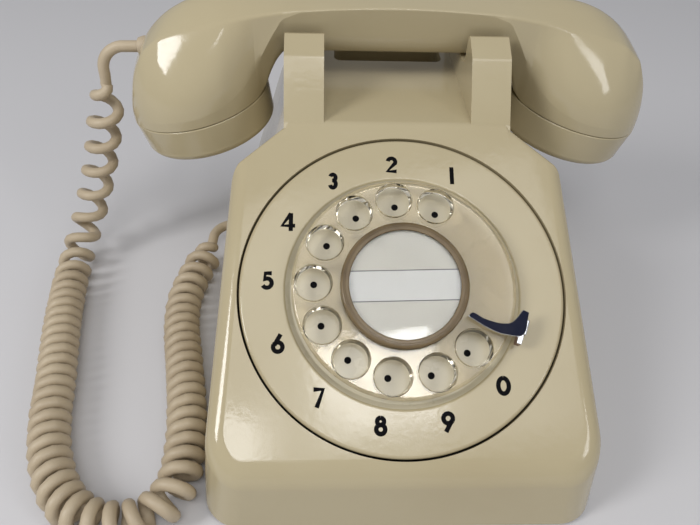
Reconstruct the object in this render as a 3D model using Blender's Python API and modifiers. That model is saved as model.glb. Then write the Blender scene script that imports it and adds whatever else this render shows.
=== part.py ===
"""Desk telephone with a rotary dial, a lift-off handset and a curly cord.

Metres, +Z up, +X to the right of the person who dials, +Y away from them.
The origin is the middle of the base, on the surface that the telephone stands on.
"""

import math

import bmesh
import bpy
import numpy as np
from mathutils import Matrix, Vector

MM = 0.001
CLEARANCE = 0.3 * MM  # running gap between neighbours

# Housing
BASE_HALF_WIDTH = 68.7 * MM
BASE_HALF_DEPTH = 103.0 * MM
HOUSING_LIFT = 2.0 * MM
DECK_HEIGHT = 94.2 * MM
WALL = 2.8 * MM
DRAFT = math.radians(5.7)
CORNER_RADIUS = 14.0 * MM
EDGE_ROUNDING = 6.0 * MM
CRADLE_HALF_WIDTH = 40.7 * MM
SIDE_FLARE = 2.06 * MM  # how far outside the base the sloping sides would meet the table
CRADLE_SIDE_SLOPE = math.atan((BASE_HALF_WIDTH + SIDE_FLARE - CRADLE_HALF_WIDTH) / DECK_HEIGHT)
CRADLE_FRONT_JOIN = 22.0 * MM
BACK_FORM_START = -20.0 * MM
SHOULDER_REACH = 30.0 * MM  # from the upright middle axis of the body to the shoulder plane
SHOULDER_TURN = math.radians(52.8)
BACK_SLOPE = math.radians(63)
BACK_EDGE_Y = BASE_HALF_DEPTH - 19.0 * MM  # where the sloping back meets the deck
HANDSET_Y = BASE_HALF_DEPTH - 55.0 * MM
INLET_Y = HANDSET_Y
INLET_Z = 11.0 * MM
GROMMET_RADIUS = 4.0 * MM
LINE_INLET_X = -20.0 * MM

# Dial
DIAL_TILT = math.radians(31.5)
DIAL_SETBACK = 55.6 * MM  # from the front of the base to the middle of the dial
DIAL_DROP = DECK_HEIGHT * 32.9 / 94.2
DIAL_CENTRE = Vector((0, DIAL_SETBACK - BASE_HALF_DEPTH, DECK_HEIGHT - DIAL_DROP))
PLATE_RADIUS = 56.0 * MM
PLATE_SEAM = 0.65 * MM
RING_INNER_RADIUS = 39.6 * MM
PLATE_THICKNESS = 2.0 * MM
RECESS_DEPTH = 2.2 * MM
SKIRT_DEPTH = 8.7 * MM
MOUNTING_RADIUS = 50.0 * MM
SHEET = 1.5 * MM
WHEEL_RADIUS = 38.0 * MM
WHEEL_UNDERSIDE = 2.3 * MM
WHEEL_THICKNESS = 3.0 * MM
WHEEL_TOP = WHEEL_UNDERSIDE + WHEEL_THICKNESS
HOLE_COUNT = 10
HOLE_CIRCLE = 30.6 * MM
HOLE_RADIUS = 6.1 * MM  # at the top; the holes narrow towards the underside
HOLE_FOOT_RADIUS = 5.7 * MM
HOLE_SIDES = 16
HOLE_LIP = 0.5 * MM
LIP_WALL = 0.38 * MM
FIRST_HOLE = math.radians(67.7)
HOLE_PITCH = math.radians(27.68)
HUB_RADIUS = 9.0 * MM
BEZEL_RADIUS = 21.7 * MM
BEZEL_HEIGHT = 2.4 * MM
CARD_RADIUS = 19.6 * MM
CARD_THICKNESS = 0.4 * MM
WINDOW_THICKNESS = 1.0 * MM
SHAFT_RADIUS = 3.0 * MM
MECHANISM_DEPTH = 16.0 * MM
STOP_ANGLE = math.radians(-20)
STOP_THICKNESS = 1.2 * MM
STOP_FOOT_RADIUS = 41.6 * MM
STOP_FOOT_HALF = 2.6 * MM

# Gears
DRIVE_TEETH = 32
DRIVE_MODULE = 1.5 * MM
PINION_TEETH = 8
GOVERNOR_GEAR_TEETH = 24
GOVERNOR_TEETH = 8
GOVERNOR_MODULE = 1.05 * MM
PINION_DIRECTION = math.radians(100)
GOVERNOR_DIRECTION = math.radians(20)
GEAR_THICKNESS = 2.0 * MM
SPINDLE_RADIUS = 1.6 * MM

# Cradle and hook switch
EAR_WIDTH = 14.7 * MM
EAR_INNER_X = 27.3 * MM
HANDLE_HALF_WIDTH = 14.8 * MM
HANDLE_GAP = 10.8 * MM  # room for the fingers between the deck and the handle
HANDLE_UNDERSIDE = DECK_HEIGHT + HANDLE_GAP
HANDLE_TOP = HANDLE_UNDERSIDE + 22.5 * MM
PLUNGER_WIDTH = 8.0 * MM
PLUNGER_DEPTH = 6.0 * MM
HOOK_ARM = 30.0 * MM
HOOK_REST = math.radians(-7.5)
HOOK_PIVOT_HEIGHT = DECK_HEIGHT - 34.2 * MM
HOOK_ROD_RADIUS = 2.0 * MM
HOOK_SIDE_X = 41.0 * MM
POCKET_HALF_WIDTH = 23.0 * MM
POCKET_FRONT = HANDSET_Y - 1.0 * MM
POCKET_BACK = HANDSET_Y + 25.0 * MM
POCKET_FLOOR = DECK_HEIGHT - 18.2 * MM

# Handset heads
HEAD_X = 79.5 * MM
SEAM_HEIGHT = HANDLE_UNDERSIDE - 22.8 * MM
SEAM_RADIUS = 29.3 * MM
HEAD_TILT = math.radians(12.7)
CAP_DEPTH = 15.1 * MM
CAP_FACE_RADIUS = 28.4 * MM
CAP_WALL = 2.0 * MM
CUP_RADIUS = 24.9 * MM
CUP_DEPTH = 7.5 * MM
CUP_WELL_RADIUS = 17.5 * MM
CUP_WELL_DEPTH = 17.0 * MM
CAP_SKIRT = 6.0 * MM
LEAD_HEIGHT = HANDLE_UNDERSIDE - 2.0 * MM
LEAD_BORE_RADIUS = 4.5 * MM
LEAD_BORE_X = -91.0 * MM
BUSHING_END = 11.0 * MM

# Base and feet
FOOT_RADIUS = 8.0 * MM
FOOT_X = BASE_HALF_WIDTH - 28.7 * MM
FOOT_Y = BASE_HALF_DEPTH - 36.0 * MM
FOOT_HEIGHT = 3.7 * MM
BASE_UNDERSIDE = FOOT_HEIGHT + CLEARANCE
BASE_TOP = BASE_UNDERSIDE + SHEET
SEAT = BASE_TOP + CLEARANCE
BOSS_RADIUS = 4.5 * MM
SCREW_RADIUS = 1.8 * MM
FRONT_BOSS = (BASE_HALF_WIDTH - 20.7 * MM, 18.0 * MM - BASE_HALF_DEPTH)
BACK_BOSS = (BASE_HALF_WIDTH - 38.7 * MM, BASE_HALF_DEPTH - 11.0 * MM)

# Ringer
GONG_RADIUS = 20.0 * MM
GONG_SPACING = 27.0 * MM
GONG_HEIGHT = 12.0 * MM
GONG_WALL = 1.2 * MM
GONG_RIM = 10.0 * MM
GONG_Y = BASE_HALF_DEPTH - 82.0 * MM
RINGER_X = -6.0 * MM
POST_RADIUS = 2.5 * MM
CLAPPER_ROD = 24.0 * MM
CLAPPER_BALL = 4.0 * MM
COIL_RADIUS = 8.0 * MM
COIL_LENGTH = 32.0 * MM
WHEEL_X = BASE_HALF_WIDTH - 24.7 * MM
WHEEL_Y = BASE_HALF_DEPTH - 69.0 * MM
LOUDNESS_RADIUS = 12.0 * MM

# Network block
NETWORK_HALF_WIDTH = 40.0 * MM
NETWORK_DEPTH = 42.0 * MM
NETWORK_FRONT = 25.0 * MM - BASE_HALF_DEPTH
NETWORK_TOP = DIAL_CENTRE.z - 43.3 * MM

# Curly cord
CORD_DIAMETER = 4.6 * MM
CURL_RADIUS = 5.4 * MM
CURL_GAP = 0.55 * MM
LOOSE_PITCH = 13.0 * MM
CURL_POINTS = 8
CORD_SIDES_SETTING = 1
HANG_SHARE = 0.24  # of the middle line, from the handset to the table
LOOSE_SHARE = 0.86  # where the curls open again towards the housing

ROOT = bpy.context.scene.collection


def clear_scene():
    """Removes every object and collection that the scene starts with."""
    for item in list(bpy.data.objects):
        bpy.data.objects.remove(item, do_unlink=True)
    for group in list(bpy.data.collections):
        bpy.data.collections.remove(group)


clear_scene()
PARTS = bpy.data.collections.new("telephone")
CUTTERS = bpy.data.collections.new("cutters")
ROOT.children.link(PARTS)
ROOT.children.link(CUTTERS)


# Finishes


def finish(name, colour, roughness, metallic=0.0, transmission=0.0):
    """A Principled material."""
    material = bpy.data.materials.new(name)
    material.use_nodes = True
    shader = material.node_tree.nodes["Principled BSDF"]
    shader.inputs["Base Color"].default_value = (*colour, 1)
    shader.inputs["Roughness"].default_value = roughness
    shader.inputs["Metallic"].default_value = metallic
    shader.inputs["Transmission Weight"].default_value = transmission
    material.diffuse_color = (*colour, 1)
    return material


IVORY = finish("ivory_plastic", (0.62, 0.55, 0.36), 0.28)
CLEAR = finish("clear_plastic", (0.85, 0.80, 0.62), 0.08, transmission=0.9)
CARD = finish("card_paper", (0.72, 0.72, 0.68), 0.7)
BEZEL = finish("bezel_plastic", (0.10, 0.085, 0.06), 0.35)
CHROME = finish("bright_steel", (0.75, 0.75, 0.77), 0.15, metallic=1.0)
STEEL = finish("zinc_plated_steel", (0.55, 0.55, 0.50), 0.4, metallic=1.0)
BRASS = finish("brass", (0.70, 0.52, 0.22), 0.35, metallic=1.0)
RUBBER = finish("rubber", (0.04, 0.04, 0.04), 0.8)
CORD = finish("cord_jacket", (0.56, 0.48, 0.34), 0.55)
DARK = finish("black_plastic", (0.03, 0.03, 0.03), 0.5)
COPPER = finish("coil_winding", (0.45, 0.16, 0.08), 0.5)


# Makers' helpers


def add(name, mesh, material, parent=None, place=None):
    """A part object with its material, placed under a parent empty or in the world."""
    item = bpy.data.objects.new(name, mesh)
    PARTS.objects.link(item)
    if material is not None:
        mesh.materials.append(material)
    item.parent = parent
    if place is not None:
        item.matrix_local = place
    return item


def as_cutter(item):
    """Moves an object to the cutters, which are drawn as wire and left out of the model."""
    PARTS.objects.unlink(item)
    CUTTERS.objects.link(item)
    item.hide_render = True
    item.display_type = "WIRE"
    return item


def pivot(name, place, parent=None):
    """An empty on a joint's axis, which its local Z follows."""
    empty = bpy.data.objects.new(name, None)
    PARTS.objects.link(empty)
    empty.empty_display_size = 0.01
    empty.parent = parent
    empty.matrix_local = place
    return empty


def combine(item, other, operation="DIFFERENCE", solver="EXACT"):
    """A Boolean modifier, whose other object becomes a cutter."""
    if other.name in PARTS.objects:
        as_cutter(other)
    step = item.modifiers.new(operation.lower() + "_" + other.name, "BOOLEAN")
    step.operation = operation
    step.solver = solver
    step.object = other
    return item


def smooth(item, angle=35):
    """Smooth shading with sharp edges above the angle."""
    item.data.shade_smooth()
    item.data.set_sharp_from_angle(angle=math.radians(angle))
    return item


def round_edges(item, width, segments=2, angle=40):
    """A Bevel modifier on the sharp edges."""
    bevel = item.modifiers.new("rounded edges", "BEVEL")
    bevel.width = width
    bevel.segments = segments
    bevel.limit_method = "ANGLE"
    bevel.angle_limit = math.radians(angle)
    return item


def block(name, low, high, material, parent=None, rounding=0.0, place=None):
    """A box between two corners, with rounded edges where rounding is given."""
    mesh = bpy.data.meshes.new(name)
    shape = bmesh.new()
    bmesh.ops.create_cube(shape, size=1)
    low, high = Vector(low), Vector(high)
    size = high - low
    bmesh.ops.scale(shape, vec=size, verts=shape.verts)
    bmesh.ops.translate(shape, vec=(low + high) / 2, verts=shape.verts)
    shape.to_mesh(mesh)
    shape.free()
    item = add(name, mesh, material, parent, place)
    if rounding:
        round_edges(item, rounding)
    return item


def rod(name, start, end, radius, material, parent=None, sides=20, end_radius=None):
    """A round bar or cone between two points."""
    start, end = Vector(start), Vector(end)
    mesh = bpy.data.meshes.new(name)
    shape = bmesh.new()
    top = radius if end_radius is None else end_radius
    bmesh.ops.create_cone(
        shape, cap_ends=True, segments=sides, radius1=radius, radius2=top, depth=(end - start).length
    )
    turn = (end - start).to_track_quat("Z", "Y").to_matrix().to_4x4()
    bmesh.ops.transform(shape, matrix=Matrix.Translation((start + end) / 2) @ turn, verts=shape.verts)
    shape.to_mesh(mesh)
    shape.free()
    return smooth(add(name, mesh, material, parent))


def turned(name, profile, material, steps=32, parent=None, place=None, ring=True):
    """A profile of (radius, height), outer side running down, turned about local Z."""
    mesh = bpy.data.meshes.new(name)
    count = len(profile)
    edges = [(i, i + 1) for i in range(count - 1)]
    if ring:
        edges.append((count - 1, 0))
    mesh.from_pydata([(r, 0, z) for r, z in profile], edges, [])
    item = add(name, mesh, material, parent, place)
    screw = item.modifiers.new("turn", "SCREW")
    screw.axis = "Z"
    screw.steps = steps
    screw.render_steps = steps
    screw.use_merge_vertices = True
    screw.merge_threshold = 0.01 * MM
    screw.use_smooth_shade = True
    return item


def arc(centre, radius, start, end, segments=4):
    """Points of an arc in a profile, angles in degrees."""
    points = []
    for i in range(segments + 1):
        angle = math.radians(start + (end - start) * i / segments)
        points.append((centre[0] + radius * math.cos(angle), centre[1] + radius * math.sin(angle)))
    return points


def circle(radius, segments, centre=(0.0, 0.0)):
    """Points of a circle, the last one not repeated."""
    return arc(centre, radius, 0, 360 * (segments - 1) / segments, segments - 1)


def sheet(name, outlines, thickness, material, parent=None, place=None):
    """A flat outline with its holes, of the given thickness, centred on its own plane."""
    curve = bpy.data.curves.new(name, "CURVE")
    curve.dimensions = "2D"
    curve.fill_mode = "BOTH"
    curve.extrude = thickness / 2
    for outline in outlines:
        spline = curve.splines.new("POLY")
        spline.points.add(len(outline) - 1)
        for point, (x, y) in zip(spline.points, outline):
            point.co = (x, y, 0, 1)
        spline.use_cyclic_u = True
    return add(name, curve, material, parent, place)


def meshed(item):
    """The object as a welded mesh, so that it can be cut or joined."""
    bpy.context.view_layer.update()
    graph = bpy.context.evaluated_depsgraph_get()
    mesh = bpy.data.meshes.new_from_object(item.evaluated_get(graph))
    shape = bmesh.new()
    shape.from_mesh(mesh)
    bmesh.ops.remove_doubles(shape, verts=shape.verts, dist=0.001 * MM)
    bmesh.ops.recalc_face_normals(shape, faces=shape.faces)
    shape.to_mesh(mesh)
    shape.free()
    name = item.name
    parent, place = item.parent, item.matrix_local.copy()
    bpy.data.objects.remove(item, do_unlink=True)
    return add(name, mesh, None, parent, place)


def side_sheet(name, outline, low_x, high_x, material):
    """A sheet whose outline is given in (Y, Z), between two X positions."""
    place = Matrix(((0, 0, 1, (low_x + high_x) / 2), (1, 0, 0, 0), (0, 1, 0, 0), (0, 0, 0, 1)))
    return sheet(name, [outline], high_x - low_x, material, place=place)


def tube(name, points, radius, material, parent=None, sides_setting=2):
    """A round wire or cord along points, with closed ends."""
    curve = bpy.data.curves.new(name, "CURVE")
    curve.dimensions = "3D"
    curve.bevel_depth = radius
    curve.bevel_resolution = sides_setting
    curve.use_fill_caps = True
    spline = curve.splines.new("POLY")
    spline.points.add(len(points) - 1)
    for point, place in zip(spline.points, points):
        point.co = (*place, 1)
    return add(name, curve, material, parent)


def smooth_route(points, spacing):
    """Points at an even spacing on a Catmull-Rom curve through the given ones."""
    given = np.array(points, float)
    padded = np.vstack([2 * given[0] - given[1], given, 2 * given[-1] - given[-2]])
    dense = []
    for a, b, c, d in zip(padded, padded[1:], padded[2:], padded[3:]):
        for t in np.linspace(0, 1, 24, endpoint=False):
            dense.append(
                0.5 * (2 * b + (c - a) * t + (2 * a - 5 * b + 4 * c - d) * t**2 + (3 * b - a - 3 * c + d) * t**3)
            )
    dense = np.array([*dense, given[-1]])
    lengths = np.r_[0, np.cumsum(np.linalg.norm(np.diff(dense, axis=0), axis=1))]
    count = max(2, round(lengths[-1] / spacing))
    wanted = np.linspace(0, lengths[-1], count + 1)
    return np.stack([np.interp(wanted, lengths, dense[:, k]) for k in range(3)], axis=1)


# Frames of the dial and of the heads

NORMAL = Vector((0, -math.sin(DIAL_TILT), math.cos(DIAL_TILT)))
UPHILL = Vector((0, math.cos(DIAL_TILT), math.sin(DIAL_TILT)))
DIAL_FRAME = Matrix.Translation(DIAL_CENTRE) @ Matrix.Rotation(DIAL_TILT, 4, "X")


def dial_height(y, offset=0.0):
    """Height of the dial plane, or of one parallel to it, at a place along Y."""
    return DIAL_CENTRE.z + (y - DIAL_CENTRE.y) * math.tan(DIAL_TILT) + offset / math.cos(DIAL_TILT)


def head_frame(side):
    """Frame at the middle of a head's seam, with Z up into the head."""
    tilt = Matrix.Rotation(side * HEAD_TILT, 4, "Y")
    return Matrix.Translation((side * HEAD_X, HANDSET_Y, SEAM_HEIGHT)) @ tilt


# Housing


def keep_behind(shape, point, normal):
    """Cuts a solid by a plane, keeps the side away from the normal and closes the cut."""
    geometry = shape.verts[:] + shape.edges[:] + shape.faces[:]
    result = bmesh.ops.bisect_plane(
        shape, geom=geometry, dist=0.001 * MM, plane_co=point, plane_no=normal, clear_outer=True
    )
    edges = [e for e in result["geom_cut"] if isinstance(e, bmesh.types.BMEdge)]
    bmesh.ops.contextual_create(shape, geom=edges)
    shape.normal_update()


def borders(edge, direction, least=0.99):
    """Whether a face of the edge looks in the given direction."""
    return any(face.normal.dot(direction) > least for face in edge.link_faces)


def edge_share(edge, join, crisp):
    """Share of the body's rounding that an edge gets: none at the joint of the two forms and at the bottom."""
    flat = edge.calc_face_angle(0) < math.radians(24)
    if flat or borders(edge, Vector((0, 0, -1)), 0.9) or borders(edge, join, 0.95):
        return 0.0
    upright = abs((edge.verts[0].co - edge.verts[1].co).normalized().z) > 0.9
    if upright or (borders(edge, Vector((0, 0, 1))) and borders(edge, NORMAL)):
        return 0.3
    return 0.5 if any(borders(edge, face) for face in crisp) else 1.0


def body_block(inset):
    """A tall block with the drafted sides, front and back of the body, open to no side."""
    shape = bmesh.new()
    bmesh.ops.create_cube(shape, size=0.5)
    floor = HOUSING_LIFT - (5 * MM if inset else 0)
    bmesh.ops.translate(shape, vec=(0, 0, 0.25 + floor), verts=shape.verts)
    lean, rise = math.cos(DRAFT), math.sin(DRAFT)
    for side in (-1, 1):
        keep_behind(shape, (side * (BASE_HALF_WIDTH - inset / lean), 0, 0), (side * lean, 0, rise))
        keep_behind(shape, (0, side * (BASE_HALF_DEPTH - inset / lean), 0), (0, side * lean, rise))
    keep_behind(shape, (0, 0, DECK_HEIGHT - inset), (0, 0, 1))
    return shape


def round_corners(shape, toward, radius, segments):
    """Rounds the two upright edges at the front or at the back."""
    corners = [
        e for e in shape.edges if abs((e.verts[0].co - e.verts[1].co).z) > 0.02 and e.verts[0].co.y * toward > 0
    ]
    bmesh.ops.bevel(shape, geom=corners, offset=radius, segments=segments, profile=0.5, affect="EDGES")
    shape.normal_update()


def rounded_form(name, shape, inset, join, crisp):
    """The form as an object, its upper edges rounded by a Bevel modifier with a weight for each edge."""
    bmesh.ops.recalc_face_normals(shape, faces=shape.faces)
    shape.normal_update()
    weights = shape.edges.layers.float.new("bevel_weight_edge")
    for edge in shape.edges:
        edge[weights] = edge_share(edge, join, crisp)
    mesh = bpy.data.meshes.new(name)
    shape.to_mesh(mesh)
    shape.free()
    item = add(name, mesh, None)
    bevel = item.modifiers.new("rounded edges", "BEVEL")
    bevel.width = EDGE_ROUNDING - inset * 0.6
    bevel.segments = 1 if inset else 3
    bevel.limit_method = "WEIGHT"
    return item


def front_form(name, inset):
    """The front of the body: the dial face, the deck's front and the two shoulders."""
    shape = body_block(inset)
    round_corners(shape, -1, CORNER_RADIUS - inset, 3 if inset else 4)
    keep_behind(shape, DIAL_CENTRE - inset * NORMAL, NORMAL)
    shoulders = [Vector((side * math.cos(SHOULDER_TURN), math.sin(SHOULDER_TURN), 0)) for side in (-1, 1)]
    for square in shoulders:
        keep_behind(shape, square * (SHOULDER_REACH - inset), square)
    keep_behind(shape, (0, CRADLE_FRONT_JOIN, 0), (0, 1, 0))
    return rounded_form(name, shape, inset, Vector((0, 1, 0)), shoulders)


def back_form(name, inset):
    """The back of the body: the cradle deck between its sloping sides and the sloping back."""
    shape = body_block(inset)
    round_corners(shape, 1, CORNER_RADIUS - inset, 3 if inset else 4)
    lean, rise = math.cos(CRADLE_SIDE_SLOPE), math.sin(CRADLE_SIDE_SLOPE)
    slopes = [Vector((side * lean, 0, rise)) for side in (-1, 1)]
    for side, square in zip((-1, 1), slopes):
        keep_behind(shape, Vector((side * CRADLE_HALF_WIDTH, 0, DECK_HEIGHT)) - inset * square, square)
    square = Vector((0, math.sin(BACK_SLOPE), math.cos(BACK_SLOPE)))
    keep_behind(shape, Vector((0, BACK_EDGE_Y, DECK_HEIGHT)) - inset * square, square)
    keep_behind(shape, DIAL_CENTRE - inset * NORMAL, NORMAL)
    keep_behind(shape, (0, BACK_FORM_START, 0), (0, -1, 0))
    return rounded_form(name, shape, inset, Vector((0, -1, 0)), slopes)


def ear_outline():
    """Side outline (Y, Z) of one saddle with its front and back ear."""
    front = HANDSET_Y - HANDLE_HALF_WIDTH - 0.4 * MM
    back = HANDSET_Y + HANDLE_HALF_WIDTH + 0.4 * MM
    floor = HANDLE_UNDERSIDE - CLEARANCE
    crown = floor + 12.1 * MM
    root = DECK_HEIGHT - 7 * MM
    foot = DIAL_CENTRE.y + DIAL_DROP / math.tan(DIAL_TILT)  # where the face meets the deck
    slope = [
        (foot + along * (front - foot), DECK_HEIGHT + up * (crown - DECK_HEIGHT))
        for along, up in ((0.16, 0.27), (0.5, 0.77), (0.67, 0.93), (0.91, 1.0))
    ]
    return [
        (foot - 2.6 * MM, root),
        (foot - 2.6 * MM, DECK_HEIGHT - 3.2 * MM),
        *slope,
        (front - 0.5 * MM, floor + 11.0 * MM),
        (front, floor + 4.0 * MM),
        (front + 3.0 * MM, floor),
        (back - 3.0 * MM, floor),
        (back, floor + 4.0 * MM),
        (back + 0.5 * MM, floor + 9.5 * MM),
        (back + 2.5 * MM, floor + 10.8 * MM),
        (back + 7.0 * MM, floor + 8.0 * MM),
        (back + 14.0 * MM, floor - 12.0 * MM),
        (back + 15.0 * MM, root),
    ]


def make_housing():
    housing = front_form("housing", 0)
    housing.data.materials.append(IVORY)
    combine(housing, back_form("back form", 0), "UNION", "MANIFOLD")
    plunger_x = EAR_INNER_X + EAR_WIDTH / 2
    for side in (-1, 1):
        low_x, high_x = sorted((side * EAR_INNER_X, side * (EAR_INNER_X + EAR_WIDTH)))
        name = "ears_left" if side < 0 else "ears_right"
        ears = meshed(side_sheet(name, ear_outline(), low_x, high_x, None))
        round_edges(ears, 1.2 * MM, segments=2, angle=50)
        combine(housing, ears, "UNION", "MANIFOLD")
    combine(housing, front_form("front hollow", WALL), solver="MANIFOLD")
    combine(housing, back_form("back hollow", WALL), solver="MANIFOLD")
    tub = block(
        "hand pocket tub",
        (-POCKET_HALF_WIDTH - WALL, POCKET_FRONT - WALL, POCKET_FLOOR - WALL),
        (POCKET_HALF_WIDTH + WALL, POCKET_BACK + WALL, DECK_HEIGHT - 0.5 * MM),
        None,
    )
    combine(housing, tub, "UNION", "MANIFOLD")
    pocket = block(
        "hand pocket",
        (-POCKET_HALF_WIDTH, POCKET_FRONT, POCKET_FLOOR),
        (POCKET_HALF_WIDTH, POCKET_BACK, DECK_HEIGHT + 5 * MM),
        None,
        rounding=3 * MM,
    )
    combine(housing, pocket, solver="MANIFOLD")
    for index, (x, y) in enumerate((FRONT_BOSS, BACK_BOSS)):
        slope_y = Vector((0, math.sin(BACK_SLOPE), math.cos(BACK_SLOPE)))
        back_z = DECK_HEIGHT - (y + BOSS_RADIUS - BACK_EDGE_Y) * slope_y.y / slope_y.z
        top = dial_height(y - BOSS_RADIUS) if y < 0 else back_z
        for side in (-1, 1):
            name = f"boss_{index}_{side}"
            boss = rod(name, (side * x, y, SEAT), (side * x, y, top - WALL * 0.6), BOSS_RADIUS, None, sides=6)
            combine(housing, boss, "UNION", "MANIFOLD")
            bore = rod(
                name + "_bore",
                (side * x, y, SEAT - 2 * MM),
                (side * x, y, SEAT + 8.3 * MM),
                SCREW_RADIUS + CLEARANCE,
                None,
                sides=6,
            )
            combine(housing, bore, solver="MANIFOLD")
    opening = rod(
        "dial opening",
        DIAL_CENTRE - 12 * MM * NORMAL,
        DIAL_CENTRE + 12 * MM * NORMAL,
        PLATE_RADIUS + PLATE_SEAM,
        None,
        sides=40,
    )
    combine(housing, opening, solver="MANIFOLD")
    for side in (-1, 1):
        hole = block(
            f"plunger hole {side}",
            (
                side * plunger_x - PLUNGER_WIDTH / 2 - CLEARANCE,
                HANDSET_Y - PLUNGER_DEPTH / 2 - CLEARANCE,
                DECK_HEIGHT - 12 * MM,
            ),
            (
                side * plunger_x + PLUNGER_WIDTH / 2 + CLEARANCE,
                HANDSET_Y + PLUNGER_DEPTH / 2 + CLEARANCE,
                HANDLE_UNDERSIDE + 5 * MM,
            ),
            None,
        )
        combine(housing, hole, solver="MANIFOLD")
    notch = rod(
        "handset cord notch",
        (-BASE_HALF_WIDTH - 5 * MM, INLET_Y, INLET_Z),
        (-BASE_HALF_WIDTH + 12 * MM, INLET_Y, INLET_Z),
        GROMMET_RADIUS + CLEARANCE,
        None,
        sides=16,
    )
    combine(housing, notch, solver="MANIFOLD")
    line_notch = rod(
        "line cord notch",
        (LINE_INLET_X, BASE_HALF_DEPTH - 12 * MM, INLET_Z),
        (LINE_INLET_X, BASE_HALF_DEPTH + 5 * MM, INLET_Z),
        GROMMET_RADIUS + CLEARANCE,
        None,
        sides=16,
    )
    combine(housing, line_notch, solver="MANIFOLD")
    return housing


def rounded_rectangle(half_x, half_y, radius, segments=4):
    """Outline of a rectangle with round corners."""
    points = []
    for corner, (sx, sy) in enumerate(((1, 1), (-1, 1), (-1, -1), (1, -1))):
        centre = (sx * (half_x - radius), sy * (half_y - radius))
        points += arc(centre, radius, 90 * corner, 90 * corner + 90, segments)
    return points


def make_base():
    """Steel base plate, rubber feet, screws and cord grommet."""
    lean = math.tan(DRAFT) * BASE_TOP
    half_x = BASE_HALF_WIDTH - lean - WALL / math.cos(DRAFT) - CLEARANCE
    half_y = BASE_HALF_DEPTH - lean - WALL / math.cos(DRAFT) - CLEARANCE
    outlines = [rounded_rectangle(half_x, half_y, CORNER_RADIUS)]
    for x, y in (FRONT_BOSS, BACK_BOSS):
        for side in (-1, 1):
            outlines.append(circle(SCREW_RADIUS + CLEARANCE, 8, (side * x, y)))
    outlines.append(circle(POST_RADIUS, 12, (WHEEL_X, WHEEL_Y)))
    plate_place = Matrix.Translation((0, 0, BASE_UNDERSIDE + SHEET / 2))
    sheet("base_plate", outlines, SHEET, STEEL, place=plate_place)
    names = {(-1, -1): "front_left", (1, -1): "front_right", (-1, 1): "back_left", (1, 1): "back_right"}
    foot_profile = [(0, FOOT_HEIGHT), (FOOT_RADIUS, FOOT_HEIGHT), (FOOT_RADIUS * 0.8, 0), (0, 0)]
    screw_profile = [
        (0, SEAT + 7 * MM),
        (SCREW_RADIUS, SEAT + 7 * MM),
        (SCREW_RADIUS, BASE_UNDERSIDE - CLEARANCE),
        (SCREW_RADIUS * 1.9, BASE_UNDERSIDE - CLEARANCE),
        (SCREW_RADIUS * 1.9, BASE_UNDERSIDE - CLEARANCE - 1.6 * MM),
        (0, BASE_UNDERSIDE - CLEARANCE - 1.6 * MM),
    ]
    for (sx, sy), name in names.items():
        place = Matrix.Translation((sx * FOOT_X, sy * FOOT_Y, 0))
        turned("foot_" + name, foot_profile, RUBBER, steps=10, place=place, ring=False)
        x, y = FRONT_BOSS if sy < 0 else BACK_BOSS
        place = Matrix.Translation((sx * x, y, 0))
        turned("screw_" + name, screw_profile, STEEL, steps=6, place=place, ring=False)
    outer = BASE_HALF_WIDTH - INLET_Z * math.tan(DRAFT)
    bore = CORD_DIAMETER / 2 + CLEARANCE
    grommet = [
        (bore, 3.0 * MM),
        (GROMMET_RADIUS + 1.2 * MM, 3.0 * MM),
        (GROMMET_RADIUS + 1.2 * MM, 0.5 * MM),
        (GROMMET_RADIUS, 0.5 * MM),
        (GROMMET_RADIUS, -WALL - 4 * MM),
        (bore, -WALL - 4 * MM),
    ]
    place = Matrix.Translation((-outer, INLET_Y, INLET_Z)) @ Matrix.Rotation(math.radians(-90), 4, "Y")
    turned("cord_grommet", grommet, DARK, steps=12, place=place)


# Dial


def tooth_outline(teeth, module, phase):
    """Outline of a spur gear with slim teeth, one of them centred on the phase angle."""
    pitch_radius = teeth * module / 2
    pitch = 2 * math.pi / teeth
    corners = (
        (-0.23, -0.95 * module),
        (-0.11, 0.6 * module),
        (0.11, 0.6 * module),
        (0.23, -0.95 * module),
    )
    points = []
    for tooth in range(teeth):
        for share, out in corners:
            angle = phase + (tooth + share) * pitch
            radius = pitch_radius + out
            points.append((radius * math.cos(angle), radius * math.sin(angle)))
    return points


def lift(height, x=0.0, y=0.0):
    return Matrix.Translation((x, y, height))


PLATE_TOP = -SKIRT_DEPTH - CLEARANCE  # upper face of the mounting plate, from the ring's plane
PLATE_BOTTOM = PLATE_TOP - SHEET
BRIDGE_TOP = PLATE_BOTTOM - MECHANISM_DEPTH
DRIVE_LEVEL = PLATE_BOTTOM - 1.0 * MM - GEAR_THICKNESS / 2
GOVERNOR_LEVEL = BRIDGE_TOP + 1.5 * MM + GEAR_THICKNESS / 2
PINION_DISTANCE = (DRIVE_TEETH + PINION_TEETH) * DRIVE_MODULE / 2
PINION_SPOT = (PINION_DISTANCE * math.cos(PINION_DIRECTION), PINION_DISTANCE * math.sin(PINION_DIRECTION))
GOVERNOR_DISTANCE = (GOVERNOR_GEAR_TEETH + GOVERNOR_TEETH) * GOVERNOR_MODULE / 2
GOVERNOR_SPOT = (
    PINION_SPOT[0] + GOVERNOR_DISTANCE * math.cos(GOVERNOR_DIRECTION),
    PINION_SPOT[1] + GOVERNOR_DISTANCE * math.sin(GOVERNOR_DIRECTION),
)
BRIDGE_POSTS = ((-24.0 * MM, 36.0 * MM), (30.0 * MM, 33.0 * MM), (0.0, -27.0 * MM))


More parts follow.
